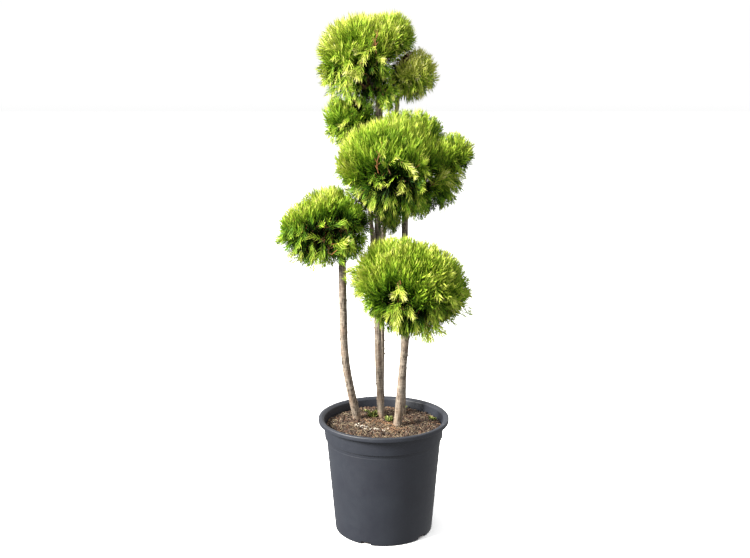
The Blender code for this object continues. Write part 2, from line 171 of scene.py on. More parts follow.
# Balls: the limb that carries each, how much paler its sprays are painted than the others', as painted
# light, or darker below zero as painted shade, and its lobes as centre, radii to the clipped surface and how
# far the lobe's lower half is drawn in towards the stem, from 0 to 1
BALLS = {
    "ball_left": {
        "limb": "stem_left",
        "tone": -0.60,
        "lobes": (
            ((-0.131, -0.030, 0.634), (0.084, 0.085, 0.075), 0.12),
            ((-0.108, -0.030, 0.654), (0.074, 0.074, 0.078), 0.00),
            ((-0.072, -0.036, 0.666), (0.063, 0.064, 0.071), 0.10),
            ((-0.080, -0.045, 0.628), (0.056, 0.056, 0.056), 0.30),
        ),
    },
    "ball_right_low": {
        "limb": "stem_right",
        "tone": -0.05,
        "lobes": (
            ((0.055, -0.080, 0.527), (0.119, 0.108, 0.104), 0.62),
            ((0.007, -0.076, 0.570), (0.064, 0.066, 0.064), 1.00),
            ((-0.034, -0.072, 0.537), (0.036, 0.037, 0.037), 0.30),
            ((0.034, -0.074, 0.578), (0.062, 0.062, 0.062), 0.30),
        ),
    },
    "ball_middle": {
        "limb": "stem_right_back",
        "tone": -0.20,
        "lobes": (
            ((0.012, -0.030, 0.756), (0.118, 0.106, 0.108), 0.35),
            ((0.125, -0.012, 0.782), (0.062, 0.066, 0.056), 0.30),
            ((0.103, -0.016, 0.720), (0.052, 0.058, 0.053), 0.20),
            ((0.065, 0.020, 0.829), (0.061, 0.056, 0.049), 0.30),
            ((0.011, 0.018, 0.668), (0.037, 0.038, 0.048), 0.30),
            ((0.112, -0.014, 0.752), (0.060, 0.060, 0.062), 0.20),
            ((-0.036, -0.020, 0.704), (0.050, 0.050, 0.052), 0.20),
            ((0.034, 0.018, 0.837), (0.046, 0.046, 0.042), 0.20),
            ((0.070, -0.030, 0.699), (0.056, 0.058, 0.046), 0.20),
            ((0.082, 0.006, 0.778), (0.048, 0.050, 0.052), 0.10),
            ((-0.016, -0.002, 0.683), (0.036, 0.036, 0.037), 0.25),
        ),
    },
    "ball_upper_left": {
        "limb": BOUGH,
        "tone": -0.60,
        "lobes": (((-0.067, 0.095, 0.851), (0.064, 0.064, 0.068), 0.00),),
    },
    "ball_top": {
        "limb": "stem_centre",
        "tone": 0.35,
        "lobes": (
            ((-0.049, 0.070, 0.972), (0.095, 0.097, 0.096), 0.12),
            ((0.014, 0.070, 1.009), (0.058, 0.062, 0.064), 0.50),
            ((-0.020, 0.068, 0.990), (0.056, 0.060, 0.077), 0.10),
            ((0.008, 0.046, 0.905), (0.034, 0.034, 0.044), 0.10),
            ((-0.036, 0.052, 0.908), (0.050, 0.050, 0.038), 0.10),
        ),
    },
    "ball_top_side": {
        "limb": "stem_centre_back",
        "tone": 0.90,
        "lobes": (
            ((0.052, 0.085, 0.943), (0.064, 0.064, 0.061), 0.20),
            ((0.034, 0.076, 0.967), (0.039, 0.042, 0.034), 0.20),
        ),
    },
}
# Loose tufts that stand out of each lobe of a ball: where the middle tip ends, its heading, how many
# sprays, how far their tips scatter, their tone and length
TUFTS = {
    ("ball_left", 3): (
        ((-0.050, -0.060, 0.592), (0.75, -0.30, -0.55), 5, 0.005, 2.0, 0.050),
        ((-0.036, -0.060, 0.635), (0.80, -0.40, -0.30), 5, 0.006, 1.8, 0.052),
        ((-0.042, -0.060, 0.612), (0.70, -0.45, -0.50), 5, 0.006, 1.8, 0.052),
        ((-0.062, -0.070, 0.592), (0.45, -0.55, -0.70), 5, 0.007, 2.0, 0.050),
    ),
    ("ball_right_low", 0): (
        ((0.058, -0.120, 0.444), (0.10, -0.50, -0.85), 4, 0.005, 2.6, 0.048),
        ((0.089, -0.125, 0.436), (0.05, -0.35, -0.93), 3, 0.004, 3.2, 0.050),
        ((0.091, -0.125, 0.435), (0.12, -0.45, -0.88), 5, 0.005, 3.4, 0.052),
        ((0.120, -0.120, 0.452), (0.75, -0.35, -0.55), 4, 0.004, 3.4, 0.055),
        ((0.016, -0.110, 0.455), (-0.25, -0.55, -0.80), 4, 0.008, 2.2, 0.050),
        ((0.172, -0.085, 0.515), (0.97, -0.15, -0.20), 4, 0.004, 3.6, 0.058),
        ((0.156, -0.095, 0.491), (0.90, -0.20, -0.35), 4, 0.006, 2.8, 0.058),
        ((0.140, -0.110, 0.471), (0.80, -0.30, -0.55), 4, 0.006, 2.2, 0.055),
        ((-0.025, -0.100, 0.486), (-0.65, -0.35, -0.65), 3, 0.006, 2.6, 0.052),
        ((0.012, -0.180, 0.531), (-0.45, -0.70, -0.35), 2, 0.002, 3.9, 0.042),
        ((0.039, -0.182, 0.532), (0.35, -0.75, -0.40), 2, 0.002, 3.9, 0.042),
        ((0.001, -0.160, 0.496), (-0.50, -0.50, -0.65), 2, 0.003, 3.5, 0.045),
        ((0.027, -0.160, 0.475), (-0.05, -0.55, -0.80), 3, 0.003, 3.6, 0.048),
        ((0.057, -0.168, 0.492), (0.40, -0.60, -0.60), 2, 0.003, 3.8, 0.042),
        ((0.106, -0.150, 0.529), (0.80, -0.55, -0.10), 3, 0.003, 3.6, 0.050),
    ),
    ("ball_right_low", 2): (
        ((-0.069, -0.080, 0.550), (-0.95, -0.20, 0.05), 4, 0.005, 2.6, 0.050),
        ((-0.070, -0.075, 0.567), (-0.90, -0.15, 0.30), 4, 0.004, 3.0, 0.050),
        ((-0.064, -0.075, 0.567), (-0.88, -0.15, 0.30), 3, 0.004, 3.0, 0.046),
        ((-0.060, -0.080, 0.546), (-0.97, -0.15, 0.12), 3, 0.005, 3.0, 0.046),
        ((-0.060, -0.080, 0.520), (-0.97, -0.15, -0.05), 4, 0.005, 3.2, 0.050),
        ((-0.042, -0.085, 0.501), (-0.85, -0.25, -0.40), 3, 0.005, 2.8, 0.050),
    ),
    ("ball_middle", 6): (
        ((-0.027, -0.030, 0.685), (-0.45, -0.45, -0.75), 5, 0.007, 1.8, 0.046),
    ),
    ("ball_middle", 4): (
        ((-0.009, -0.010, 0.673), (-0.20, -0.45, -0.85), 5, 0.006, 1.6, 0.046),
        ((0.011, 0.020, 0.626), (-0.20, -0.45, -0.85), 4, 0.005, 2.2, 0.044),
        ((0.033, 0.000, 0.643), (0.50, -0.45, -0.70), 3, 0.004, 2.4, 0.044),
    ),
    ("ball_top", 2): (
        ((0.005, 0.090, 0.934), (-0.50, -0.60, -0.10), 6, 0.007, 1.2, 0.050),
        ((0.009, 0.060, 0.932), (0.30, -0.50, 0.70), 6, 0.007, 1.4, 0.048),
        ((0.013, 0.030, 0.878), (0.20, -0.40, -0.85), 4, 0.006, 2.0, 0.048),
        ((0.005, 0.010, 0.884), (-0.05, -0.70, -0.60), 3, 0.006, 2.4, 0.048),
        ((-0.003, 0.045, 0.924), (0.10, -0.75, -0.50), 6, 0.009, 1.2, 0.050),
        ((0.005, 0.070, 0.932), (0.50, -0.50, -0.50), 6, 0.009, 1.2, 0.050),
    ),
    ("ball_left", 0): (
        ((-0.213, -0.040, 0.617), (-0.95, -0.20, -0.20), 3, 0.004, 2.4, 0.050),
        ((-0.062, -0.125, 0.635), (0.72, -0.50, 0.30), 3, 0.003, 3.6, 0.056),
        ((-0.209, -0.040, 0.617), (-0.92, -0.20, -0.30), 4, 0.005, 2.6, 0.055),
        ((-0.185, -0.050, 0.596), (-0.75, -0.35, -0.55), 4, 0.007, 3.0, 0.052),
        ((-0.158, -0.060, 0.576), (-0.40, -0.45, -0.75), 5, 0.009, 2.8, 0.052),
        ((-0.130, -0.080, 0.574), (-0.10, -0.60, -0.75), 4, 0.009, 3.0, 0.050),
        ((-0.107, -0.115, 0.668), (0.30, -0.75, 0.20), 2, 0.003, 2.6, 0.040),
        ((-0.142, -0.112, 0.635), (-0.50, -0.70, 0.20), 2, 0.003, 3.2, 0.040),
        ((-0.074, -0.100, 0.668), (0.75, -0.60, 0.25), 2, 0.003, 2.4, 0.042),
    ),
    ("ball_middle", 3): (
        ((0.009, 0.030, 0.873), (0.15, -0.35, 0.90), 3, 0.005, 3.2, 0.050),
    ),
    ("ball_top", 0): (
        ((-0.128, 0.050, 0.922), (-0.85, -0.25, -0.40), 5, 0.006, 3.4, 0.052),
        ((-0.132, 0.050, 0.951), (-0.95, -0.25, -0.10), 4, 0.006, 3.4, 0.052),
        ((-0.107, 0.030, 0.904), (-0.60, -0.40, -0.70), 5, 0.008, 2.6, 0.052),
        ((-0.066, -0.005, 0.896), (-0.20, -0.65, -0.70), 4, 0.008, 3.0, 0.048),
        ((-0.061, -0.030, 0.983), (-0.55, -0.75, -0.20), 2, 0.003, 3.6, 0.042),
        ((-0.042, -0.030, 0.968), (-0.25, -0.75, -0.50), 3, 0.003, 3.8, 0.044),
        ((-0.020, -0.028, 0.985), (0.25, -0.85, -0.15), 2, 0.003, 3.6, 0.040),
        ((0.003, -0.020, 0.962), (0.45, -0.70, -0.40), 3, 0.003, 4.0, 0.042),
        ((-0.073, -0.025, 0.945), (-0.45, -0.60, -0.55), 3, 0.003, 4.0, 0.044),
        ((-0.050, -0.022, 0.930), (-0.15, -0.65, -0.70), 3, 0.004, 3.6, 0.044),
        ((-0.073, -0.010, 0.919), (-0.30, -0.55, -0.70), 3, 0.004, 3.4, 0.046),
    ),
    ("ball_top_side", 0): (
        ((0.061, 0.040, 0.941), (0.70, -0.60, -0.20), 2, 0.003, 3.6, 0.042),
    ),
    ("ball_upper_left", 0): (
        ((-0.087, 0.050, 0.808), (-0.20, -0.50, -0.80), 5, 0.007, 2.4, 0.048),
        ((-0.105, 0.060, 0.822), (-0.70, -0.40, -0.60), 4, 0.006, 2.4, 0.048),
        ((-0.086, 0.035, 0.843), (-0.50, -0.70, -0.40), 2, 0.003, 3.8, 0.040),
    ),
    ("ball_middle", 0): (
        ((0.002, -0.135, 0.784), (-0.20, -0.85, 0.10), 2, 0.003, 3.6, 0.040),
        ((0.026, -0.138, 0.788), (0.25, -0.85, 0.15), 2, 0.003, 3.6, 0.040),
        ((0.002, -0.115, 0.734), (-0.30, -0.65, -0.60), 3, 0.003, 2.9, 0.042),
        ((0.033, -0.115, 0.719), (0.05, -0.65, -0.70), 3, 0.003, 3.8, 0.044),
        ((0.060, -0.125, 0.754), (0.35, -0.75, -0.40), 3, 0.003, 4.0, 0.042),
        ((0.071, -0.100, 0.721), (0.30, -0.60, -0.65), 3, 0.004, 2.9, 0.044),
        ((0.047, -0.080, 0.689), (0.05, -0.60, -0.75), 4, 0.006, 2.5, 0.046),
        ((0.080, -0.140, 0.784), (0.60, -0.60, 0.45), 2, 0.002, 3.3, 0.036),
    ),
    ("ball_middle", 5): (
        ((0.123, -0.075, 0.759), (0.80, -0.35, 0.50), 2, 0.002, 4.0, 0.048),
    ),
}
# Hollows where the old sprays were cut out: a point on the surface and a radius
HOLLOWS = (
    ((0.005, -0.010, 0.980), 0.018),
    ((-0.011, -0.022, 0.998), 0.012),
    ((-0.024, -0.020, 0.949), 0.013),
    ((-0.019, -0.010, 0.927), 0.013),
    ((-0.061, -0.022, 0.964), 0.010),
    ((0.012, -0.130, 0.769), 0.016),
    ((0.034, -0.125, 0.755), 0.016),
    ((-0.012, -0.115, 0.753), 0.013),
    ((0.012, -0.110, 0.726), 0.012),
    ((0.092, -0.085, 0.735), 0.014),
    ((-0.136, -0.110, 0.660), 0.015),
    ((-0.109, -0.112, 0.650), 0.016),
    ((-0.087, -0.100, 0.656), 0.010),
    ((-0.122, -0.100, 0.618), 0.012),
    ((0.034, -0.186, 0.548), 0.012),
    ((0.094, -0.160, 0.540), 0.015),
    ((0.023, -0.175, 0.504), 0.016),
    ((0.049, -0.165, 0.484), 0.014),
    ((0.075, -0.165, 0.503), 0.014),
    ((-0.011, -0.160, 0.510), 0.012),
)
# Young twigs whose bark has turned red-brown, standing in front of the sprays of a lobe: tip and heading
RED_TWIGS = {
    ("ball_top", 0): ((-0.013, -0.020, 1.024), (0.02, -0.30, 0.95)),
    ("ball_middle", 0): ((-0.009, -0.128, 0.800), (0.02, -0.35, 0.94)),
}
HEART_DROP = 0.22
FENCE_GAP = 0.0006
LIMB_CLEARANCE = 0.0010
MOST_TRIANGLES = 190000
# Depth in a lobe past which a spray is clipped, and the share of what stands past it that it keeps
CLIP_DEPTH = 1.015
CLIP_SHARE = 0.35
# How many shapes there are of the outer and the inner sprays, with how many branchlets and of what width
OUTER_SPRAYS = (12, 17, 0.018)
INNER_SPRAYS = (4, 9, 0.065)
BOUGH_SIDES = 12
# How many inner sprays there are for each outer one, and the depth in a lobe where its outer shell begins
INNER_SHARE = 0.30
SHELL_DEPTH = 0.86
# Scales of the noise that parts the sprays into tufts and fine clumps and makes their headings drift
TUFT_SCALE = 24.0
CLUMP_SCALE = 55.0
DRIFT_SCALE = 14.0
# Twigs: the clipped surface that each serves, how far short of it they end, and radii from foot to tip
TWIG_AREA = 0.0019
TWIG_SHORTFALL = 0.030
TWIG_RADII = (0.0020, 0.0008)
TWIGLET_RADII = (0.0009, 0.0007, 0.0006)
RED_TWIG_RADII = (0.0007, 0.0004)
RED_TWIG_LENGTH = 0.045
SIDE_TWIG_LENGTH = 0.010

# Slots of the foliage's finishes: its tones run from 0, the near-black painted shade inside a ball, to the
# palest tips
PALEST_TONE = 6
TWIG_TONE = 7
# The tone step of a spray's woody rachis
WOODY = 9.0
# Patches of painted shade that stand deeper and are painted darker than the rest of their ball, or, below
# zero, patches of painted light, fuller and painted lighter: centre, radius and how much
SHADE_AND_LIGHT_PATCHES = (
    ((-0.016, -0.090, 0.822), 0.040, 0.6),
    ((0.129, -0.050, 0.740), 0.036, -1.0),
    ((-0.120, -0.060, 0.698), 0.038, -1.6),
    ((-0.023, -0.010, 0.946), 0.030, 1.3),
    ((0.001, -0.005, 0.908), 0.030, 1.0),
    ((0.016, -0.115, 0.745), 0.046, 3.0),
    ((0.079, -0.080, 0.723), 0.036, 0.6),
    ((-0.129, -0.105, 0.653), 0.038, 2.6),
    ((-0.076, -0.090, 0.655), 0.036, 2.2),
    ((0.012, -0.165, 0.541), 0.040, 2.0),
    ((0.078, -0.150, 0.488), 0.030, 1.1),
    ((-0.078, 0.040, 0.845), 0.020, 0.6),
    ((-0.073, -0.090, 0.766), 0.036, -1.6),
    ((0.062, 0.020, 0.966), 0.030, -0.3),
    ((0.106, -0.140, 0.550), 0.038, -1.1),
)
# Painted light: the way, towards the key light on the left, that the outer sprays are painted paler
KEY_LIGHT_SIDE = np.array([-0.96, 0.0, 0.28])

# Stage: the camera's focal length and shift in pixels of its frame, its tilt in degrees, and the key light
FRAME_WIDTH = 750.0
FOCAL_PIXELS = 943.8
SHIFT_PIXELS = -8.67
CAMERA_TILT = 10.85
SENSOR_WIDTH = 36.0
KEY_SIZE = 1.4
KEY_PLACE = (-3.1, -1.6, 2.3)
KEY_AIM = (0.0, 0.0, 0.62)


def linear(colour):
    """An sRGB hex colour as linear red, green and blue."""
    channels = [int(colour[i : i + 2], 16) / 255 for i in (0, 2, 4)]
    return tuple(c / 12.92 if c <= 0.04045 else ((c + 0.055) / 1.055) ** 2.4 for c in channels)


def colour_property(name, description, value):
    """A colour that a user may change, from its sRGB hex value."""
    return bpy.props.FloatVectorProperty(
        name=name, description=description, subtype="COLOR", min=0.0, max=1.0, default=linear(value)
    )


def length_property(name, description, value):
    """A length in metres that a user may change."""
    return bpy.props.FloatProperty(
        name=name, description=description, unit="LENGTH", min=0.0, default=value, precision=4
    )


def count_property(name, description, value):
    """A number of things that a user may change."""
    return bpy.props.IntProperty(name=name, description=description, min=0, default=value)


def strength_property(name, description, value, subtype="NONE"):
    """A density, a power or a strength that a user may change."""
    return bpy.props.FloatProperty(
        name=name, description=description, subtype=subtype, min=0.0, default=value
    )


# --- sizes and colours ---


class PotSettings(bpy.types.PropertyGroup):
    """Sizes and colours of the pot."""

    height: length_property("Height", "From the floor to the top of the lip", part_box("pot")[1].z)
    lip_radius: length_property("Lip radius", "Outer radius of the rolled lip", 0.1362)
    plastic: colour_property("Plastic", "Anthracite of the moulded wall", "171A23")
    chalked: colour_property("Chalked plastic", "Paler tone where the wall has weathered", "1D2129")
    scuffed: colour_property("Scuffs", "Rubbed marks on the lip and the collar", "4A4D55")


class SoilSettings(bpy.types.PropertyGroup):
    """Amounts and colours of the potting soil and what lies on it."""

    crumbs: count_property("Crumbs", "Lumps of peat on the bed", 3200)
    chips: count_property("Bark chips", "Chips on the bed", 460)
    fibres: count_property("Fibres", "Loose root fibres on the bed", 220)
    perlite: count_property("Perlite", "White grains on the bed", 85)
    peat: colour_property("Peat", "Main tone of the soil", "392F28")
    damp: colour_property("Damp peat", "Dark tone in the hollows", "191412")
    dry: colour_property("Dry peat", "Pale tone on the ridges", "4F453C")


class BarkSettings(bpy.types.PropertyGroup):
    """Colours and relief of the bark."""

    relief: length_property("Relief", "Height of the bark's ridges", 0.00035)
    bark: colour_property("Bark", "Main tone of the bark", "867B6E")
    furrow: colour_property("Furrows", "Dark tone between the ridges", "3B332B")
    flake: colour_property("Flakes", "Pale tone of the weathered flakes", "AA9E8F")
    root: colour_property("Root collar", "Rusty tone close to the soil", "6E5A48")


class FoliageSettings(bpy.types.PropertyGroup):
    """Amount, size and colours of the foliage."""

    density: strength_property("Density", "Sprays to each square metre of clipped surface", 12500.0)
    length: length_property("Spray length", "Middle length of a spray", 0.058)
    # Old sprays inside a ball, near black as painted shade
    shade: colour_property("Shade", "Old sprays inside a ball", "0A1503")
    # A real deeper green, which the sprays in the creases take as painted shade
    deep: colour_property("Deep green", "Sprays in the creases", "1F3A09")
    green: colour_property("Green", "Grown sprays", "4C6E14")
    fresh: colour_property("Fresh green", "Outer sprays", "789522")
    lime: colour_property("Lime", "Outer branchlets", "9CAA3A")
    tip: colour_property("Tips", "Young yellow tips", "B8BA5E")
    cream: colour_property("Cream", "Palest tips", "CCCA92")
    twig: colour_property("Twig", "Green wood that turned brown", "7A4E30")


class StageSettings(bpy.types.PropertyGroup):
    """Camera distance and light."""

    distance: length_property("Camera distance", "From the pot's axis", 1.886)
    eye_height: length_property("Camera height", "Above the floor", 0.896)
    key: strength_property("Key light", "Power in watts", 760.0, "POWER")
    zenith: strength_property("Overhead", "Strength of the surround overhead", 1.85)
    below: strength_property("From below", "Strength of the surround underneath", 0.55)


# --- materials ---

# The stretch of a pattern that is the same along every axis
EVEN = (1.0, 1.0, 1.0)


def add(tree, kind, inputs=(), output=0, **settings):
    """Adds one node with its settings and links, and returns its output. The inputs come in order or by
    key, each as a value or as the socket that it is linked from."""
    node = tree.nodes.new(kind)
    for name, value in settings.items():
        setattr(node, name, value)
    for key, value in inputs.items() if isinstance(inputs, dict) else enumerate(inputs):
        socket = node.inputs[key]
        if isinstance(value, bpy.types.NodeSocket):
            tree.links.new(value, socket)
        else:
            socket.default_value = (*value, 1.0) if socket.type == "RGBA" else value
    return node.outputs[output]


def new_material(name, colour, roughness, ior=1.5, specular=0.5):
    """A material with its Principled shader set, its node tree and that shader."""
    made = bpy.data.materials.new(name)
    made.use_nodes = True
    tree = made.node_tree
    surface = tree.nodes["Principled BSDF"]
    surface.inputs["Base Color"].default_value = (*colour, 1.0)
    surface.inputs["Roughness"].default_value = roughness
    surface.inputs["IOR"].default_value = ior
    surface.inputs["Specular IOR Level"].default_value = specular
    made.diffuse_color = (*colour, 1.0)
    return made, tree, surface


def patterned(tree, *rows):
    """Object coordinates, and a noise for each row (millimetres, detail, roughness, stretch): its features
    are about that many millimetres across, drawn out by the stretch along each axis."""
    place = add(tree, "ShaderNodeTexCoord", output="Object")
    made = [place]
    for millimetres, detail, roughness, stretch in rows:
        scale = [1000.0 / (millimetres * s) for s in stretch]
        at = add(tree, "ShaderNodeMapping", {"Vector": place, "Scale": scale})
        inputs = {"Vector": at, "Scale": 1.0, "Detail": detail, "Roughness": roughness}
        made.append(add(tree, "ShaderNodeTexNoise", inputs, "Fac"))
    return made


def coated(tree, colour, *rows):
    """The colour under a coat for each row (pattern, low, high, most, tone): none of the tone shows where
    the pattern is at low, and the share most of it shows where the pattern is at high."""
    for pattern, low, high, most, tone in rows:
        shown = add(tree, "ShaderNodeMapRange", (pattern, low, high, 0.0, most))
        colour = add(tree, "ShaderNodeMix", {0: shown, 6: colour, 7: tone}, 2, data_type="RGBA")
    return colour


def surfaced(tree, surface, colour, height, metres):
    """Links the colour to the surface, and the height pattern as a bump of this many metres."""
    tree.links.new(colour, surface.inputs["Base Color"])
    bump = add(tree, "ShaderNodeBump", {"Height": height, "Distance": metres, "Strength": 1.0})
    tree.links.new(bump, surface.inputs["Normal"])


def pot_plastic(settings):
    """Satin polypropylene, injection moulded: an even dark grey whose fine grain softens the sheen."""
    made, tree, surface = new_material("satin_moulded_polypropylene", settings.plastic, 0.42, 1.49)
    # The second pattern is rubbed marks that run round the pot, a few millimetres long
    place, chalk, rubbed, gloss, skin = patterned(
        tree,
        (60.0, 4.0, 0.55, EVEN),
        (1.6, 5.0, 0.65, (6.0, 6.0, 1.0)),
        (14.0, 3.0, 0.55, EVEN),
        (0.9, 2.0, 0.55, EVEN),
    )
    height = add(tree, "ShaderNodeSeparateXYZ", (place,), "Z")
    near_lip = add(tree, "ShaderNodeMapRange", (height, COLLAR_FOOT_HEIGHT, settings.height, 0.05, 0.55))
    colour = coated(
        tree,
        settings.plastic,
        (chalk, 0.35, 0.75, 1.0, settings.chalked),
        (rubbed, 0.60, 0.72, near_lip, settings.scuffed),
    )
    sheen = add(tree, "ShaderNodeMapRange", (gloss, 0.3, 0.7, 0.48, 0.56))
    tree.links.new(sheen, surface.inputs["Roughness"])
    surfaced(tree, surface, colour, skin, 0.00006)
    return made


def soil_material(name, settings, pale=0.0):
    """Peat and composted bark: matt brown crumbs, almost black in the hollows and tan where they dry."""
    made, tree, surface = new_material(name, settings.peat, 0.93, specular=0.25)
    _, crumb, rust, skin = patterned(
        tree, (3.5, 6.0, 0.7, EVEN), (7.0, 2.0, 0.55, EVEN), (1.2, 4.0, 0.55, EVEN)
    )
    colour = coated(
        tree,
        settings.damp,
        (crumb, 0.36 - pale, 0.52 - pale, 1.0, settings.peat),
        (crumb, 0.52 - pale, 0.70 - pale, 1.0, settings.dry),
        (rust, 0.45, 0.65, 0.6, linear("553A2A")),
    )
    surfaced(tree, surface, colour, skin, 0.0006)
    return made


def dry_matter(name, low, high, roughness, millimetres):
    """Litter on the soil, weeds and twig wood: two tones dealt out in patches on a dry matt surface."""
    made, tree, surface = new_material(name, linear(low), roughness, specular=0.3)
    _, patch, skin = patterned(tree, (millimetres, 3.0, 0.55, EVEN), (millimetres / 3, 3.0, 0.55, EVEN))
    colour = coated(tree, linear(low), (patch, 0.38, 0.62, 1.0, linear(high)))
    surfaced(tree, surface, colour, skin, 0.0003)
    return made


def bark_material(settings):
    """Arborvitae bark, weathered grey-beige: thin fibrous strips along the stem, crossed by twig rings."""
    made, tree, surface = new_material("weathered_fibrous_bark", settings.bark, 0.86, specular=0.3)
    # Real fibres are about 1 mm wide: they are drawn coarser, so that they show
    place, fibre, ring, patch = patterned(
        tree,
        (2.8, 5.0, 0.6, (1.0, 1.0, 9.0)),
        (2.6, 4.0, 0.6, (6.0, 6.0, 1.0)),
        (16.0, 4.0, 0.55, (1.0, 1.0, 2.0)),
    )
    height = add(tree, "ShaderNodeSeparateXYZ", (place,), "Z")
    near_soil = add(tree, "ShaderNodeMapRange", (height, SOIL_LEVEL + 0.060, SOIL_LEVEL, 0.0, 0.75))
    colour = coated(
        tree,
        settings.furrow,
        (fibre, 0.38, 0.58, 1.0, settings.bark),
        (ring, 0.52, 0.66, 0.42, settings.flake),
        (ring, 0.44, 0.34, 0.42, settings.furrow),
        (patch, 0.50, 0.68, 0.55, linear("7C6655")),
        (patch, 0.35, 0.60, near_soil, settings.root),
    )
    both = add(tree, "ShaderNodeMath", (fibre, ring), operation="ADD")
    surfaced(tree, surface, colour, both, 0.0007)
    return made


def foliage_materials(settings):
    """Scale leaves on flat sprays: waxy enough to shine a little, in tones from the painted shade inside a
    ball to the palest tip.
    """
    names = ("shade", "deep", "green", "fresh", "lime", "tip", "cream", "twig")
    gloss = (0.05, 0.10, 0.16, 0.22, 0.25, 0.25, 0.25, 0.10)
    return [
        new_material("scale_leaf_" + name, getattr(settings, name), 0.55, 1.42, level)[0]
        for name, level in zip(names, gloss)
    ]


# --- meshes ---


def dress(piece, slot, *nodes):
    """Rides the piece on the plant's body and stands it for the nodes; the slot is not used."""
    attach(piece, BODY)
    if nodes:
        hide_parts(*nodes)
    return piece


def placed(name, mesh, finishes):
    """The mesh as an object at the origin."""
    for finish in finishes:
        mesh.materials.append(finish)
    made = bpy.data.objects.new(name, mesh)
    bpy.context.scene.collection.objects.link(made)
    return made


def object_from(bm, name, *finishes):
    """The bmesh as an object, its faces turned outwards."""
    bm.normal_update()
    bmesh.ops.recalc_face_normals(bm, faces=bm.faces)
    mesh = bpy.data.meshes.new(name)
    bm.to_mesh(mesh)
    bm.free()
    mesh.shade_smooth()
    return placed(name, mesh, finishes)


def applied(piece):
    """Applies the piece's modifiers to its mesh."""
    graph = bpy.context.evaluated_depsgraph_get()
    mesh = bpy.data.meshes.new_from_object(piece.evaluated_get(graph))
    piece.modifiers.clear()
    old, piece.data = piece.data, mesh
    bpy.data.meshes.remove(old)


class Heap:
    """Triangles and their material slots, gathered for one joined mesh."""

    def __init__(self):
        self.points = []
        self.faces = []
        self.slots = []
        self.count = 0

    def put(self, points, faces, slots):
        """Adds one run of triangles, with a slot for all of them or for each."""
        points = np.asarray(points, np.float32).reshape(-1, 3)
        faces = np.asarray(faces, np.int32).reshape(-1, 3)
        self.points.append(points)
        self.faces.append(faces + self.count)
        self.slots.append(np.broadcast_to(np.asarray(slots, np.int32), len(faces)))
        self.count += len(points)

    def spread(self, shape, places, slots=0):
        """Adds a copy of the shape (points, faces) at each 4x4 place, with one slot for each copy."""
        points, faces = shape
        made = np.einsum("nij,vj->nvi", places[:, :3, :3], points) + places[:, None, :3, 3]
        start = np.arange(len(places))[:, None, None] * len(points)
        slots = np.broadcast_to(np.asarray(slots), len(places))
        self.put(made, faces[None] + start, np.repeat(slots, len(faces)))

    def triangles(self):
        return sum(len(faces) for faces in self.faces)

    def piece(self, name, finishes, smooth=False):
        """The heap as one object."""
        points = np.concatenate(self.points)
        faces = np.concatenate(self.faces)
        slots = np.concatenate(self.slots)
        mesh = bpy.data.meshes.new(name)
        mesh.vertices.add(len(points))
        mesh.vertices.foreach_set("co", points.ravel())
        mesh.loops.add(faces.size)
        mesh.loops.foreach_set("vertex_index", faces.ravel())
        mesh.polygons.add(len(faces))
        mesh.polygons.foreach_set("loop_start", np.arange(len(faces), dtype=np.int32) * 3)
        made = placed(name, mesh, finishes)
        mesh.polygons.foreach_set("material_index", slots.astype(np.int32))
        mesh.update(calc_edges=True)
        if mesh.validate():
            raise RuntimeError(f"{name} had faces that are not valid")
        if smooth:
            mesh.shade_smooth()
        return made


def shape_of(bm):
    """A bmesh as (points, triangles) for a heap."""
    bmesh.ops.triangulate(bm, faces=bm.faces)
    bm.verts.index_update()
    points = np.array([v.co for v in bm.verts])
    faces = np.array([[v.index for v in f.verts] for f in bm.faces])
    bm.free()
    return points, faces


def turns(rng, count):
    """Random rotations as 3x3 matrices."""
    q = rng.normal(size=(count, 4))
    q /= np.linalg.norm(q, axis=1, keepdims=True)
    w, x, y, z = q.T
    rows = [
        [1 - 2 * (y * y + z * z), 2 * (x * y - z * w), 2 * (x * z + y * w)],
        [2 * (x * y + z * w), 1 - 2 * (x * x + z * z), 2 * (y * z - x * w)],
        [2 * (x * z - y * w), 2 * (y * z + x * w), 1 - 2 * (x * x + y * y)],
    ]
    return np.moveaxis(np.array(rows), 2, 0)


def places_from(turn, scale, at):
    """4x4 places from rotations, a scale along each axis of the shape, and positions."""
    made = np.zeros((len(at), 4, 4))
    made[:, :3, :3] = turn * scale[:, None, :]
    made[:, :3, 3] = at
    made[:, 3, 3] = 1.0
    return made


def tubes(lines, radii, sides):
    """Open thin tubes along many lines at once, as points and triangles, from lines (n, k, 3) and radii
    (n, k)."""
    count, stations, _ = lines.shape
    heading = np.gradient(lines, axis=1)
    heading /= np.linalg.norm(heading, axis=2, keepdims=True) + 1e-12
    lean = np.where(np.abs(heading[:, :1, 2:]) < 0.8, np.array([0.0, 0.0, 1.0]), np.array([1.0, 0.0, 0.0]))
    side = np.cross(heading, np.broadcast_to(lean, heading.shape))
    side /= np.linalg.norm(side, axis=2, keepdims=True) + 1e-12
    front = np.cross(heading, side)
    angle = np.arange(sides) * math.tau / sides
    ring = side[:, :, None] * np.cos(angle)[:, None] + front[:, :, None] * np.sin(angle)[:, None]
    points = lines[:, :, None] + ring * radii[:, :, None, None]
    corner = np.arange(sides)
    beside = (corner + 1) % sides
    low = np.arange(stations - 1)[:, None] * sides
    quads = [low + corner, low + sides + corner, low + sides + beside, low + beside]
    first = np.stack([quads[0], quads[3], quads[2]], axis=-1).reshape(-1, 3)
    second = np.stack([quads[0], quads[2], quads[1]], axis=-1).reshape(-1, 3)
    faces = np.concatenate([first, second])
    start = np.arange(count)[:, None, None] * stations * sides
    return points.reshape(-1, 3), (faces[None] + start).reshape(-1, 3)


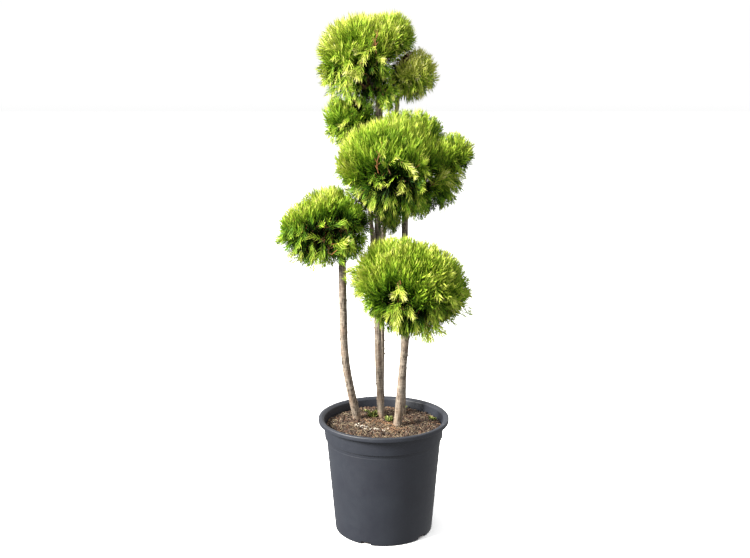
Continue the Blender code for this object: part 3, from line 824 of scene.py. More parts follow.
def turned(profile, steps):
    """A closed profile of (radius, height) spun round Z, with its points on the axis made one."""
    bm = bmesh.new()
    points = [bm.verts.new((radius, 0.0, height)) for radius, height in profile]
    edges = [bm.edges.new(pair) for pair in zip(points, points[1:])]
    bmesh.ops.spin(
        bm,
        geom=points + edges,
        axis=UP,
        cent=(0.0, 0.0, 0.0),
        angle=math.tau,
        steps=steps,
        use_merge=True,
    )
    bmesh.ops.remove_doubles(bm, verts=bm.verts, dist=1e-6)
    return bm


# --- pot ---


def wall_radius(height):
    """Outer radius of the pot's tapered body."""
    top = COLLAR_FOOT_RADIUS - COLLAR_STEP
    return BASE_RADIUS + (top - BASE_RADIUS) * height / COLLAR_FOOT_HEIGHT


def collar_radius(height, pot_height):
    """Outer radius of the collar."""
    rise = (height - COLLAR_FOOT_HEIGHT) / (pot_height - LIP_DEPTH - COLLAR_FOOT_HEIGHT)
    return COLLAR_FOOT_RADIUS + (COLLAR_TOP_RADIUS - COLLAR_FOOT_RADIUS) * rise


def inner_radius(height, pot_height):
    """Inner radius of the pot: the wall follows the body, then the collar."""
    if height < COLLAR_FOOT_HEIGHT:
        return wall_radius(height) - POT_WALL
    return collar_radius(height, pot_height) - POT_WALL


def eased(corners, radius, steps):
    """The profile with each of its corners rounded: (r, z, ease) with ease as a share of the radius."""
    out = [corners[0][:2]]
    for before, corner, after in zip(corners, corners[1:], corners[2:]):
        at = Vector(corner[:2])
        reach = radius * corner[2]
        if reach == 0.0:
            out.append(tuple(at))
            continue
        back = Vector(before[:2]) - at
        on = Vector(after[:2]) - at
        start = at + back.normalized() * min(reach, back.length * 0.45)
        end = at + on.normalized() * min(reach, on.length * 0.45)
        for step in range(steps + 1):
            t = step / steps
            out.append(tuple(start * (1 - t) ** 2 + at * 2 * t * (1 - t) + end * t**2))
    return [*out, corners[-1][:2]]


def pot_profile(settings):
    """From the middle of the underside, up the outside, over the lip and down the inside. Each corner has
    its radius, its height and its ease."""
    top = settings.height
    under_lip = top - LIP_DEPTH
    step_foot = COLLAR_FOOT_HEIGHT - COLLAR_STEP_RISE
    inner_step = COLLAR_FOOT_HEIGHT - INNER_STEP_RISE
    ring = wall_radius(RING_HEIGHT)
    corners = [
        (0.0, 0.0, 0.0),
        (BASE_RADIUS, 0.0, 1.4),
        (wall_radius(BASE_BAND_HEIGHT), BASE_BAND_HEIGHT, 0.0),
        (ring, RING_HEIGHT - RING_HALF_WIDTH, 0.3),
        (ring - RING_DEPTH, RING_HEIGHT, 0.3),
        (ring, RING_HEIGHT + RING_HALF_WIDTH, 0.3),
        (wall_radius(step_foot), step_foot, 0.4),
        (wall_radius(step_foot) - 0.0007, COLLAR_FOOT_HEIGHT - 0.0008, 0.3),
        (COLLAR_FOOT_RADIUS, COLLAR_FOOT_HEIGHT - 0.0006, 0.5),
        (collar_radius(COLLAR_BAND_HEIGHT, top), COLLAR_BAND_HEIGHT, 0.0),
        (COLLAR_TOP_RADIUS, under_lip - 0.0022, 0.5),
        (COLLAR_TOP_RADIUS - 0.0012, under_lip + 0.0008, 0.5),
        (settings.lip_radius - 0.0010, under_lip, 0.6),
        (settings.lip_radius, under_lip + 0.0016, 0.6),
        (settings.lip_radius, top, 2.4),
        (settings.lip_radius - LIP_WIDTH, top - 0.0002, 0.8),
        (inner_radius(under_lip, top) + 0.0012, top - 0.0040, 1.5),
        (inner_radius(SOIL_LEVEL, top), SOIL_LEVEL, 1.0),
        (inner_radius(COLLAR_FOOT_HEIGHT, top), COLLAR_FOOT_HEIGHT, 0.8),
        (inner_radius(inner_step, top), inner_step, 0.8),
        (inner_radius(POT_FLOOR, top), POT_FLOOR, 1.0),
        (0.0, POT_FLOOR, 0.0),
    ]
    return eased(corners, CORNER_EASE, CORNER_STEPS)


def drain_cutter(bearing):
    """A rounded block that opens a drain slot in the foot of the wall, at this angle from the front."""
    bm = bmesh.new()
    bmesh.ops.create_cube(bm, size=1.0)
    bm.transform(Matrix.Diagonal((DRAIN_WIDTH, DRAIN_DEPTH, 2 * DRAIN_HEIGHT, 1.0)))
    upper = [e for e in bm.edges if all(v.co.z > 0 for v in e.verts)]
    along = [e for e in upper if e.verts[0].co.y != e.verts[1].co.y]
    bmesh.ops.bevel(
        bm, geom=along, offset=DRAIN_EASE, segments=3, profile=0.5, affect="EDGES", material=-1
    )
    centre = BASE_RADIUS + DRAIN_OVERHANG - DRAIN_DEPTH / 2
    bm.transform(Matrix.Rotation(bearing, 4, "Z") @ Matrix.Translation((0.0, -centre, 0.0)))
    return object_from(bm, "drain_cutter")


class TOPIARY_OT_pot(bpy.types.Operator):
    """Build the moulded pot with its lip, collar and drain slots"""

    bl_idname = "topiary.pot"
    bl_label = "Pot"

    def execute(self, context):
        settings = context.scene.topiary_pot
        pot = object_from(turned(pot_profile(settings), POT_STEPS), "moulded_pot", pot_plastic(settings))
        cutters = []
        for index in range(DRAIN_COUNT):
            cutters.append(drain_cutter(math.radians(DRAIN_FIRST_ANGLE + index * 360 / DRAIN_COUNT)))
            cut = pot.modifiers.new("drain", "BOOLEAN")
            cut.operation = "DIFFERENCE"
            cut.solver = "EXACT"
            cut.object = cutters[-1]
        applied(pot)
        for cutter in cutters:
            bpy.data.objects.remove(cutter)
        pot.data.set_sharp_from_angle(angle=math.radians(SHARP_ANGLE))
        dress(pot, "pot_plastic", "pot")
        return {"FINISHED"}


# --- soil ---


def soil_rise(x, y):
    """Height of the bed above its even surface: soft mounds with a crumbly skin."""
    mound = noise.noise(Vector((x * 28, y * 28, 3.1))) * 0.0018
    lumps = noise.noise(Vector((x * 110, y * 110, 7.7))) * 0.0013
    skin = noise.noise(Vector((x * 330, y * 330, 1.3))) * 0.0007
    return mound + lumps + skin


def soil_level(radius, pot_height):
    """Even height of the bed at this distance from the pot's axis."""
    wall = inner_radius(SOIL_LEVEL - SOIL_EDGE_DROP, pot_height)
    beyond = max(0.0, radius / wall - SOIL_FLAT_SHARE) / (1 - SOIL_FLAT_SHARE)
    return SOIL_LEVEL - SOIL_EDGE_DROP * min(1.0, beyond) ** 1.6


def on_soil(x, y, pot_height):
    """Height of the bed's surface at a point."""
    return soil_level(math.hypot(x, y), pot_height) + soil_rise(x, y)


def soil_bed(pot_height, finish):
    """The closed bed of soil, clear of the pot all round."""
    inner_step = COLLAR_FOOT_HEIGHT - INNER_STEP_RISE
    foot = POT_FLOOR + SOIL_GAP
    wall = inner_radius(SOIL_LEVEL - SOIL_EDGE_DROP, pot_height) - SOIL_GAP
    profile = [(0.0, foot)]
    for height in (foot, inner_step - 0.001, COLLAR_FOOT_HEIGHT + 0.001):
        profile.append((inner_radius(height, pot_height) - SOIL_GAP, height))
    for index in range(SOIL_RINGS + 1):
        radius = wall * (1 - index / SOIL_RINGS)
        profile.append((radius, soil_level(radius, pot_height)))
    bm = turned(profile, SOIL_STEPS)
    for vert in bm.verts:
        radius = math.hypot(vert.co.x, vert.co.y)
        if vert.co.z > SOIL_LEVEL - SOIL_EDGE_DROP - 0.001:
            edge = min(1.0, max(0.0, (wall - radius) / 0.004))
            vert.co.z += soil_rise(vert.co.x, vert.co.y) * (0.4 + 0.6 * edge)
    return object_from(bm, "soil_bed", finish)


def lump_shape(rng):
    """An uneven lump of 20 faces and unit radius."""
    bm = bmesh.new()
    bmesh.ops.create_icosphere(bm, subdivisions=1, radius=1.0)
    for vert in bm.verts:
        vert.co *= rng.uniform(0.7, 1.15)
    return shape_of(bm)


def chip_shape(rng):
    """A flat flake of bark with bevelled, uneven sides."""
    bm = bmesh.new()
    bmesh.ops.create_circle(bm, cap_ends=True, segments=6, radius=1.0)
    made = bmesh.ops.extrude_face_region(bm, geom=bm.faces[:])["geom"]
    top = [v for v in made if isinstance(v, bmesh.types.BMVert)]
    bmesh.ops.translate(bm, verts=top, vec=(0.0, 0.0, 0.5))
    bmesh.ops.scale(bm, verts=top, vec=(0.8, 0.8, 1.0))
    for vert in bm.verts:
        vert.co.x *= rng.uniform(0.75, 1.25)
        vert.co.y *= rng.uniform(0.75, 1.25)
    return shape_of(bm)


def strewn(rng, count, pot_height, spots=None, reach=0.01):
    """Random points on the bed, all over it or close to the given spots."""
    wall = inner_radius(SOIL_LEVEL, pot_height) - 0.003
    found = []
    while len(found) < count:
        if spots is None:
            radius = wall * math.sqrt(rng.uniform(0, 1))
            angle = rng.uniform(0, math.tau)
            x, y = radius * math.cos(angle), radius * math.sin(angle)
        else:
            spot = spots[int(rng.integers(len(spots)))]
            x, y = spot[0] + rng.normal(0, reach), spot[1] + rng.normal(0, reach)
        if math.hypot(x, y) < wall:
            found.append((x, y, on_soil(x, y, pot_height)))
    return np.array(found)


def fibre_lines(rng, starts, length, pot_height, stations=7):
    """Wandering lines that lie on the bed from each start."""
    wall = inner_radius(SOIL_LEVEL, pot_height) - 0.002
    lines = np.zeros((len(starts), stations, 3))
    for index, start in enumerate(starts):
        heading = rng.uniform(0, math.tau)
        step = length * rng.uniform(0.4, 1.3) / (stations - 1)
        x, y = start[0], start[1]
        for station in range(stations):
            lift = 0.0012 * math.sin(math.pi * station / (stations - 1)) * rng.uniform(0.3, 2.5)
            lines[index, station] = (x, y, on_soil(x, y, pot_height) + 0.0003 + lift)
            heading += rng.normal(0, 0.35)
            x += step * math.cos(heading)
            y += step * math.sin(heading)
            far = math.hypot(x, y)
            if far > wall:
                x, y = x * wall / far, y * wall / far
    return lines


def spun_flat(rng, count):
    """Random rotations about Z as 3x3 matrices."""
    angle = rng.uniform(0, math.tau, count)
    made = np.zeros((count, 3, 3))
    made[:, 0, 0] = made[:, 1, 1] = np.cos(angle)
    made[:, 1, 0] = np.sin(angle)
    made[:, 0, 1] = -np.sin(angle)
    made[:, 2, 2] = 1.0
    return made


def squared(frames):
    """The nearest rotations to 3x3 matrices."""
    left, _, right = np.linalg.svd(frames)
    turn = left @ right
    turn[np.linalg.det(turn) < 0, :, 2] *= -1
    return turn


class TOPIARY_OT_soil(bpy.types.Operator):
    """Build the bed of potting soil with its crumbs and bark chips"""

    bl_idname = "topiary.soil"
    bl_label = "Soil"

    def execute(self, context):
        settings = context.scene.topiary_soil
        pot_height = context.scene.topiary_pot.height
        rng = np.random.default_rng(SEED)
        bed = soil_bed(pot_height, soil_material("peat_and_composted_bark", settings))
        dress(bed, "potting_soil", "potting_soil")
        crumbs = Heap()
        for _ in range(CRUMB_SHAPES):
            at = strewn(rng, settings.crumbs // CRUMB_SHAPES, pot_height)
            size = rng.lognormal(math.log(0.0013), 0.48, len(at)).clip(0.0005, 0.0042)
            scale = size[:, None] * rng.uniform(0.6, 1.3, (len(at), 3))
            at[:, 2] += size * 0.25
            crumbs.spread(lump_shape(rng), places_from(turns(rng, len(at)), scale, at))
        piece = crumbs.piece("peat_crumbs", [soil_material("loose_peat_crumbs", settings, 0.04)])
        dress(piece, "potting_soil", "potting_soil")
        chips = Heap()
        for slot in range(2):
            at = strewn(rng, settings.chips // 2, pot_height)
            size = rng.uniform(0.0018, 0.0050, len(at))
            shape = np.stack([size, size * rng.uniform(0.35, 0.7, len(at)), size * 0.35], axis=1)
            at[:, 2] += 0.0008
            lean = turns(rng, len(at)) * 0.35 + spun_flat(rng, len(at))
            chips.spread(chip_shape(rng), places_from(squared(lean), shape, at), slot)
        finishes = [
            dry_matter("composted_bark_chip", "2E231B", "4E4033", 0.85, 4.0),
            dry_matter("dry_bark_chip", "5A4B3D", "7A6C5A", 0.85, 4.0),
        ]
        dress(chips.piece("bark_chips", finishes), "potting_soil", "potting_soil")
        return {"FINISHED"}


# Where the loose matter lies, as (x, y) on the bed
PERLITE_SPOTS = (
    (-0.056, -0.007),
    (-0.047, -0.016),
    (-0.037, -0.025),
    (-0.026, -0.031),
    (-0.019, -0.034),
    (0.005, -0.037),
)
ROOT_SPOTS = (
    (-0.014, 0.033),
    (-0.004, 0.008),
    (0.009, -0.010),
    (0.019, -0.028),
    (-0.025, 0.008),
    (0.030, -0.034),
)
# Finish, where they start, how far from there, how many for each of the settings' fibres, radius, length
FIBRES = (
    (0, ROOT_SPOTS, 0.009, 0.40, 0.00060, 0.028),
    (1, ROOT_SPOTS, 0.030, 0.40, 0.00055, 0.030),
    (0, None, 0.0, 0.50, 0.00055, 0.014),
    (1, None, 0.0, 0.90, 0.00055, 0.016),
    (2, None, 0.0, 1.40, 0.00065, 0.014),
)
WEEDS = (
    {"at": (-0.022, 0.047), "leaves": 18, "length": 0.019},
    {"at": (0.012, 0.015), "leaves": 14, "length": 0.017},
    {"at": (0.106, 0.028), "leaves": 9, "length": 0.013},
    {"at": (0.047, 0.100), "leaves": 7, "length": 0.010},
    {"at": (-0.038, 0.077), "leaves": 6, "length": 0.010},
)


def leaf_shape():
    """An ovate leaf of unit length, creased along its middle."""
    bm = bmesh.new()
    edge = bm.edges.new([bm.verts.new((0.0, 0.0, 0.0)), bm.verts.new((0.0, 0.02, 0.0))])
    for along, across, rise in ((0.3, 0.2, 0.05), (0.6, 0.26, 0.07), (0.85, 0.15, 0.04), (1.0, 0.0, 0.0)):
        made = bmesh.ops.extrude_edge_only(bm, edges=[edge])["geom"]
        edge = next(g for g in made if isinstance(g, bmesh.types.BMEdge))
        inner, outer = sorted((v for v in made if isinstance(v, bmesh.types.BMVert)), key=lambda v: v.co.y)
        inner.co = (along, 0.0, 0.0)
        outer.co = (along, across, rise)
    geometry = bm.verts[:] + bm.edges[:] + bm.faces[:]
    bmesh.ops.mirror(bm, geom=geometry, axis="Y", merge_dist=1e-5)
    bmesh.ops.remove_doubles(bm, verts=bm.verts, dist=1e-5)
    return shape_of(bm)


class TOPIARY_OT_litter(bpy.types.Operator):
    """Strew root fibres, perlite and small weeds on the soil"""

    bl_idname = "topiary.litter"
    bl_label = "Fibres, perlite and weeds"

    def execute(self, context):
        settings = context.scene.topiary_soil
        pot_height = context.scene.topiary_pot.height
        rng = np.random.default_rng(SEED + 1)
        fibres = Heap()
        for slot, spots, reach, portion, radius, length in FIBRES:
            starts = strewn(rng, int(settings.fibres * portion), pot_height, spots, reach)
            lines = fibre_lines(rng, starts, length, pot_height)
            taper = np.linspace(1.0, 0.45, lines.shape[1])
            thick = radius * rng.uniform(0.7, 1.5, (len(lines), 1)) * taper
            fibres.put(*tubes(lines, thick, 4), slot)
        finishes = [
            dry_matter("rusty_surface_root", "5C4531", "846348", 0.7, 6.0),
            dry_matter("dry_grass_fibre", "5E503F", "887B62", 0.75, 6.0),
            dry_matter("dark_peat_fibre", "2C231C", "4A3E33", 0.85, 6.0),
        ]
        dress(fibres.piece("root_fibres", finishes, smooth=True), "potting_soil", "potting_soil")

        grains = Heap()
        near = strewn(rng, int(settings.perlite * 0.72), pot_height, PERLITE_SPOTS, 0.005)
        at = np.concatenate([near, strewn(rng, int(settings.perlite * 0.28), pot_height)])
        size = rng.uniform(0.0008, 0.0021, len(at))
        size[len(near) :] *= 0.6
        at[:, 2] += size * 0.6 + 0.0006
        scale = size[:, None] * rng.uniform(0.7, 1.2, (len(at), 3))
        grains.spread(lump_shape(rng), places_from(turns(rng, len(at)), scale, at))
        finish = dry_matter("expanded_perlite", "9E968A", "C2BBAE", 0.9, 2.0)
        dress(grains.piece("perlite_grains", [finish]), "potting_soil", "potting_soil")

        weeds = Heap()
        leaf = leaf_shape()
        for weed in WEEDS:
            count = weed["leaves"]
            bearing = np.arange(count) * 2.4 + rng.uniform(0, 1)
            rise = rng.uniform(0.25, 1.15, count)
            flat = np.cos(rise)
            forward = np.stack([np.cos(bearing) * flat, np.sin(bearing) * flat, np.sin(rise)], axis=1)
            side = np.stack([-np.sin(bearing), np.cos(bearing), np.zeros(count)], axis=1)
            frames = np.stack([forward, side, np.cross(forward, side)], axis=2)
            scale = weed["length"] * rng.uniform(0.55, 1.1, (count, 1))
            at = np.array([[*weed["at"], on_soil(*weed["at"], pot_height) - 0.0005]]).repeat(count, axis=0)
            at[:, :2] += rng.normal(0, 0.0035, (count, 2))
            weeds.spread(leaf, places_from(frames, scale, at), 0)
        finish = dry_matter("weed_leaf", "4C5824", "7C8440", 0.55, 5.0)
        dress(weeds.piece("small_weeds", [finish], smooth=True), "potting_soil", "potting_soil")
        return {"FINISHED"}


# --- stems ---


def smooth_line(points, step):
    """Points about one step apart on a smooth curve through the given ones."""
    points = [Vector(p) for p in points]
    ends = [2 * points[0] - points[1], *points, 2 * points[-1] - points[-2]]
    line = []
    for before, start, end, after in zip(ends, ends[1:], ends[2:], ends[3:]):
        spans = max(1, round((end - start).length / step))
        for index in range(spans):
            t = index / spans
            line.append(
                0.5
                * (
                    2 * start
                    + (end - before) * t
                    + (2 * before - 5 * start + 4 * end - after) * t**2
                    + (3 * start - before - 3 * end + after) * t**3
                )
            )
    return [*line, points[-1]]


def directions(line):
    """The line's direction at each of its points."""
    ends = [line[0], *line, line[-1]]
    return [(after - before).normalized() for before, after in zip(ends, ends[2:])]


def across(heading, axis):
    """The heading turned square to the axis."""
    return (heading - heading.project(axis)).normalized()


def tube(line, radii, first_direction, sides):
    """A closed tapering tube: one ring extruded from station to station."""
    bm = bmesh.new()
    heading = first_direction
    place = Matrix.Translation(line[0]) @ UP.rotation_difference(heading).to_matrix().to_4x4()
    bmesh.ops.create_circle(bm, cap_ends=True, segments=sides, radius=radii[0], matrix=place)
    face = bm.faces[:][0]
    headings = directions(line)
    for index in range(1, len(line)):
        made = bmesh.ops.extrude_face_region(bm, geom=[face])["geom"]
        ring = [v for v in made if isinstance(v, bmesh.types.BMVert)]
        next_face = next(f for f in made if isinstance(f, bmesh.types.BMFace))
        if index > 1:
            bm.faces.remove(face)
        turn = heading.rotation_difference(headings[index]).to_matrix()
        for vert in ring:
            arm = (vert.co - line[index - 1]) * radii[index] / radii[index - 1]
            vert.co = line[index] + turn @ arm
        face, heading = next_face, headings[index]
    return bm


def limb_radii(line, radius):
    """Radius at each point, tapering with slow swellings, and each point's distance along the line."""
    foot, tip = radius
    runs = [0.0]
    for before, after in zip(line, line[1:]):
        runs.append(runs[-1] + (after - before).length)
    offset = line[0].x * 91
    swell = [1 + 0.045 * noise.noise(Vector((offset, 2.3, run * 30))) for run in runs]
    return [(foot + (tip - foot) * run / runs[-1]) * s for run, s in zip(runs, swell)], runs


def bark_relief(bm, line, runs, sides, relief, flare):
    """Moves each point of a limb out or in: fibrous ridges, twig rings, knots and a root flare."""
    seed = line[0].x * 300
    spots = enumerate(np.arange(0.018, runs[-1], KNOT_SPACING))
    knots = [(seed * 7 + index * 2.4, run) for index, run in spots]
    for index, vert in enumerate(bm.verts):
        station = index // sides
        centre = line[station]
        arm = vert.co - centre
        angle = math.atan2(arm.y, arm.x)
        run = runs[station]
        p = vert.co
        ridge = noise.noise(Vector((p.x * 420, p.y * 420, p.z * 60 + seed)))
        fine_ring = noise.noise(Vector((p.x * 90, p.y * 90, run * 420)))
        ring = noise.noise(Vector((seed, 5.0, run * 260))) + 0.5 * fine_ring
        out = relief * (1.1 * ridge + 0.4 * ring)
        for bearing, at in knots:
            if abs(run - at) < 0.007:
                turn = math.remainder(angle - bearing, math.tau) * arm.length
                out += KNOT_HEIGHT * math.exp(-((turn / 0.0032) ** 2) - ((run - at) / 0.0030) ** 2)
        if flare:
            rise = max(0.0, p.z - SOIL_LEVEL)
            buttress = 0.65 + 0.35 * math.cos(3 * angle + seed)
            out += arm.length * FLARE * math.exp(-rise / FLARE_RISE) * buttress
        vert.co = centre + arm * (1 + out / arm.length)


def stub(bm, at, heading, radius, length):
    """A cut twig: a short cone that stands out of the bark."""
    turn = UP.rotation_difference(heading).to_matrix().to_4x4()
    place = Matrix.Translation(at + heading * length / 2) @ turn
    bmesh.ops.create_cone(
        bm, cap_ends=True, segments=7, radius1=radius * 1.35, radius2=radius, depth=length, matrix=place
    )


def limb_lines():
    """Each limb's line, radii and distances along it, the bough's among them, at the bark's fine step."""
    limbs = {}
    for name, limb in LIMBS.items():
        line = smooth_line(limb["line"], BARK_STEP)
        limbs[name] = (line, *limb_radii(line, limb["radius"]))
    trunk = limbs["stem_centre"][0]
    index = next(i for i, p in enumerate(trunk) if p.z > BOUGH_FORK_HEIGHT)
    bearing = across(BOUGH_FORK_BEARING, trunk[index] - trunk[index - 1])
    parting = [trunk[index] + UP * rise + bearing * reach for rise, reach in BOUGH_PARTING]
    line = smooth_line((*parting, *BOUGH_LINE), BARK_STEP)
    limbs[BOUGH] = (line, *limb_radii(line, BOUGH_RADIUS))
    return limbs


class TOPIARY_OT_stems(bpy.types.Operator):
    """Build the stems and the bough with bark in relief"""

    bl_idname = "topiary.stems"
    bl_label = "Stems"

    def execute(self, context):
        settings = context.scene.topiary_bark
        rng = np.random.default_rng(SEED + 2)
        finish = bark_material(settings)
        for name, (line, radii, runs) in limb_lines().items():
            bough = name == BOUGH
            if not bough:
                below = line[0] - directions(line)[0] * SUNK_FOOT
                line, radii, runs = [below, *line], [radii[0], *radii], [-SUNK_FOOT, *runs]
            sides = THIN_LIMB_SIDES if bough or radii[0] < THIN_LIMB else BARK_SIDES
            bm = tube(line, radii, directions(line)[0], sides)
            bark_relief(bm, line, runs, sides, settings.relief, not bough)
            headings = directions(line)
            for at in np.arange(0.035, runs[-1] - 0.02, STUB_SPACING):
                index = next(i for i, run in enumerate(runs) if run >= at + rng.uniform(0, 0.012))
                along = headings[index]
                side = Matrix.Rotation(rng.uniform(0, math.tau), 3, along) @ along.orthogonal()
                side.normalize()
                heading = (side + along * 0.6).normalized()
                length = rng.uniform(0.0012, 0.0035)
                radius = rng.uniform(0.0008, 0.0014)
                stub(bm, line[index] + side * radii[index] * 0.9, heading, radius, length)
            dress(object_from(bm, "bark_" + name, finish), "bark", name)
        return {"FINISHED"}


# --- balls of foliage ---


def lobe_heart(lobe):
    """The point that a lobe's twigs start from, below its centre."""
    centre, radii, _ = lobe
    return np.array(centre) - np.array([0.0, 0.0, radii[2] * HEART_DROP])


def drawn_in(height, drawn):
    """Width of a lobe at a height from -1 to 1, as a share of the ellipsoid's: full above its middle."""
    return 1.0 - drawn * np.interp(height, (-1.0, -0.85, -0.5, -0.12), (0.60, 0.42, 0.14, 0.0))


def depth_in(lobe, points):
    """0 at the lobe's centre, 1 on its clipped surface and over 1 outside it."""
    q = (points - np.array(lobe[0])) / np.array(lobe[1])
    q[..., :2] /= drawn_in(q[..., 2], lobe[2])[..., None]
    return np.linalg.norm(q, axis=-1)


def clipped_surface(lobe, spread):
    """The point of the lobe's clipped surface in each direction of an even spread."""
    q = spread.copy()
    q[:, :2] *= drawn_in(spread[:, 2], lobe[2])[:, None]
    return np.array(lobe[0]) + q * np.array(lobe[1])


def way_out(lobe, start, heading):
    """Distance from points in the lobe to its surface along their headings."""
    centre, radii, _ = lobe
    p = (start - np.array(centre)) / np.array(radii)
    q = heading / np.array(radii)
    a = (q * q).sum(-1)
    b = (p * q).sum(-1)
    c = (p * p).sum(-1)
    return (-b + np.sqrt(np.maximum(0.0, b * b - a * (c - 1)))) / a


def golden_directions(count):
    """Directions spread evenly over a sphere."""
    index = np.arange(count)
    height = 1 - (2 * index + 1) / count
    flat = np.sqrt(1 - height**2)
    turn = math.pi * (3 - math.sqrt(5)) * index
    return np.stack([flat * np.cos(turn), flat * np.sin(turn), height], axis=1)


def surface_area(lobe):
    """Near enough the area of the lobe's ellipsoid (Thomsen's formula)."""
    a, b, c = lobe[1]
    power = 1.6075
    mean = ((a * b) ** power + (a * c) ** power + (b * c) ** power) / 3
    return 4 * math.pi * mean ** (1 / power)


def unit(vectors):
    """Each vector at unit length."""
    return vectors / (np.linalg.norm(vectors, axis=-1, keepdims=True) + 1e-12)


def fences():
    """For each ball, (lobe, point, outward normal) of the planes that part its lobes from other balls'."""
    found = {name: [] for name in BALLS}
    named = [(name, lobe) for name, ball in BALLS.items() for lobe in ball["lobes"]]
    for index, (name, lobe) in enumerate(named):
        for other, second in named[index + 1 :]:
            if other == name:
                continue
            a, b = np.array(lobe[0]), np.array(second[0])
            distance = np.linalg.norm(b - a)
            heading = (b - a) / distance
            reach = way_out(lobe, a, heading)
            back = way_out(second, b, -heading)
            if reach + back < distance - FENCE_GAP:
                continue
            at = a + heading * (reach + (distance - reach - back) / 2)
            found[name].append((lobe, at - heading * FENCE_GAP / 2, heading))
            found[other].append((second, at + heading * FENCE_GAP / 2, -heading))
    return found


def clear_of_limbs(points, limbs):
    """Whether every point of each row (n, k, 3) is clear of every limb's bark."""
    flat = points.reshape(-1, 3)
    nearest = np.full(len(flat), np.inf)
    for line, radii, _ in limbs.values():
        line = np.array([list(p) for p in line])[::6]
        radii = np.array(radii)[::6]
        for a, b, radius in zip(line, line[1:], radii):
            span = b - a
            along = ((flat - a) @ span / (span @ span)).clip(0, 1)
            away = np.linalg.norm(flat - a - along[:, None] * span, axis=1) - radius
            nearest = np.minimum(nearest, away)
    return (nearest.reshape(points.shape[:2]) > LIMB_CLEARANCE).all(axis=1)


def branchlet_shape():
    """A flattened branchlet of scale leaves: unit length and width, a lobe on each side and a pointed tip.
    Returns its points, its triangles and for each triangle whether it is in the pale outer part."""
    bm = bmesh.new()
    base = bm.edges.new([bm.verts.new((0.0, y, 0.0)) for y in (-0.35, 0.35)])
    made = bmesh.ops.extrude_edge_only(bm, edges=[base])["geom"]
    middle = sorted((v for v in made if isinstance(v, bmesh.types.BMVert)), key=lambda v: v.co.y)
    for vert, side in zip(middle, (-1, 1)):
        vert.co = (0.52, side * 0.50, 0.0)
    flanks = [e for e in bm.edges if abs(e.verts[0].co.x - e.verts[1].co.x) > 0.1]
    outward = [(bm.edges.get(middle), (1.0, 0.0, 0.0))]
    outward += [(flank, (0.70, math.copysign(1.15, flank.verts[0].co.y), 0.03)) for flank in flanks]
    for edge, at in outward:
        made = bmesh.ops.extrude_edge_only(bm, edges=[edge])["geom"]
        for vert in (v for v in made if isinstance(v, bmesh.types.BMVert)):
            vert.co = at
    bmesh.ops.remove_doubles(bm, verts=bm.verts, dist=1e-4)
    points, faces = shape_of(bm)
    outer = points[faces][:, :, 0].mean(axis=1) > 0.55
    return points, faces, outer


def spray_shape(rng, fingers, width, branchlet):
    """A flat spray of unit length, with branchlets on both sides of a rachis. Returns its points, its
    triangles and the tone step of each triangle."""
    points, faces, outer = branchlet
    heap_points, heap_faces, tones = [], [], []
    count = 0

    def put(placed_points, placed_faces, tone):
        nonlocal count
        heap_points.append(placed_points)
        heap_faces.append(placed_faces + count)
        tones.append(tone)
        count += len(placed_points)

    bend = rng.uniform(-0.08, 0.08)

    def spine(a):
        return np.array([a, bend * math.sin(a * math.pi), 0.0])

    stations = np.linspace(0.08, 0.86, fingers) + rng.normal(0, 0.008, fingers)
    for index, a in enumerate([*stations, 0.86]):
        last = index == fingers
        side = 0 if last else (1 if index % 2 else -1)
        open_angle = math.radians(np.interp(a, (0.1, 0.85), (52, 30)) + rng.normal(0, 4))
        reach = np.interp(a, (0.1, 0.35, 0.65, 0.95), (0.28, 0.42, 0.38, 0.22)) * rng.uniform(0.80, 1.12)
        if last:
            open_angle, reach = 0.0, 0.16
        turn = np.array(Matrix.Rotation(side * open_angle + rng.normal(0, 0.04), 3, "Z"))
        pitch = np.array(Matrix.Rotation(rng.normal(0, 0.28), 3, "Y"))
        roll = np.array(Matrix.Rotation(rng.normal(0, 0.40), 3, "X"))
        scaled = points * np.array([reach, width * (0.8 + 0.5 * reach), reach])
        # The branchlets curve forwards along the spray
        scaled[:, 1] -= side * 0.26 * points[:, 0] ** 2 * reach
        made = scaled @ (turn @ pitch @ roll).T + spine(a)
        # The outer parts of the branchlets are paler, as young yellow tips; the branchlets are also darker
        # towards the spray's base and paler towards its tip, partly as painted shade deep among the sprays
        step = outer.astype(float) * 0.9 + np.interp(a, (0.1, 0.45, 0.9), (-1.4, -0.1, 0.9))
        put(made, faces, step + rng.normal(0, 0.25))
    at = np.array([spine(a) for a in (0.0, 0.30, 0.60, 0.88)])
    half = np.array([0.011, 0.013, 0.010, 0.005])[:, None] * np.array([[0.0, 1.0, 0.0]])
    strip = np.concatenate([at - half, at + half])
    quads = [(i, i + 1, i + 5) for i in range(3)] + [(i, i + 5, i + 4) for i in range(3)]
    put(strip, np.array(quads), np.array([WOODY, 0.0, 0.0, WOODY, 0.0, 0.0]))
    made = np.concatenate(heap_points)
    made[:, 2] += 0.35 * made[:, 1] ** 2 * rng.uniform(-1.0, 1.4)
    return made, np.concatenate(heap_faces), np.concatenate(tones)


def clump(points, scale, seed):
    """Smooth noise at each point, from about -1 to 1."""
    return np.array([noise.noise(Vector(p) * scale + Vector((seed, 0, 0))) for p in points])


def growth(lobe, others, points):
    """The way that the foliage grows at each point: out of the lobe, blended with its neighbours' ways."""
    total = np.zeros_like(points)
    for near in (lobe, *others):
        way = unit((points - np.array(near[0])) / np.array(near[1]) ** 2)
        total += way * np.exp(-7.0 * np.maximum(0.0, depth_in(near, points) - 1.0))[:, None]
    return unit(total)


def painted_shade_and_light(points):
    """How much painted shade the sprays at these points get, standing deeper and painted darker than the
    rest of their ball; below zero, painted light.
    """
    total = np.zeros(len(points))
    for centre, radius, much in SHADE_AND_LIGHT_PATCHES:
        total += much * np.exp(-(np.linalg.norm(points - np.array(centre), axis=1) ** 2) / radius**2)
    return total


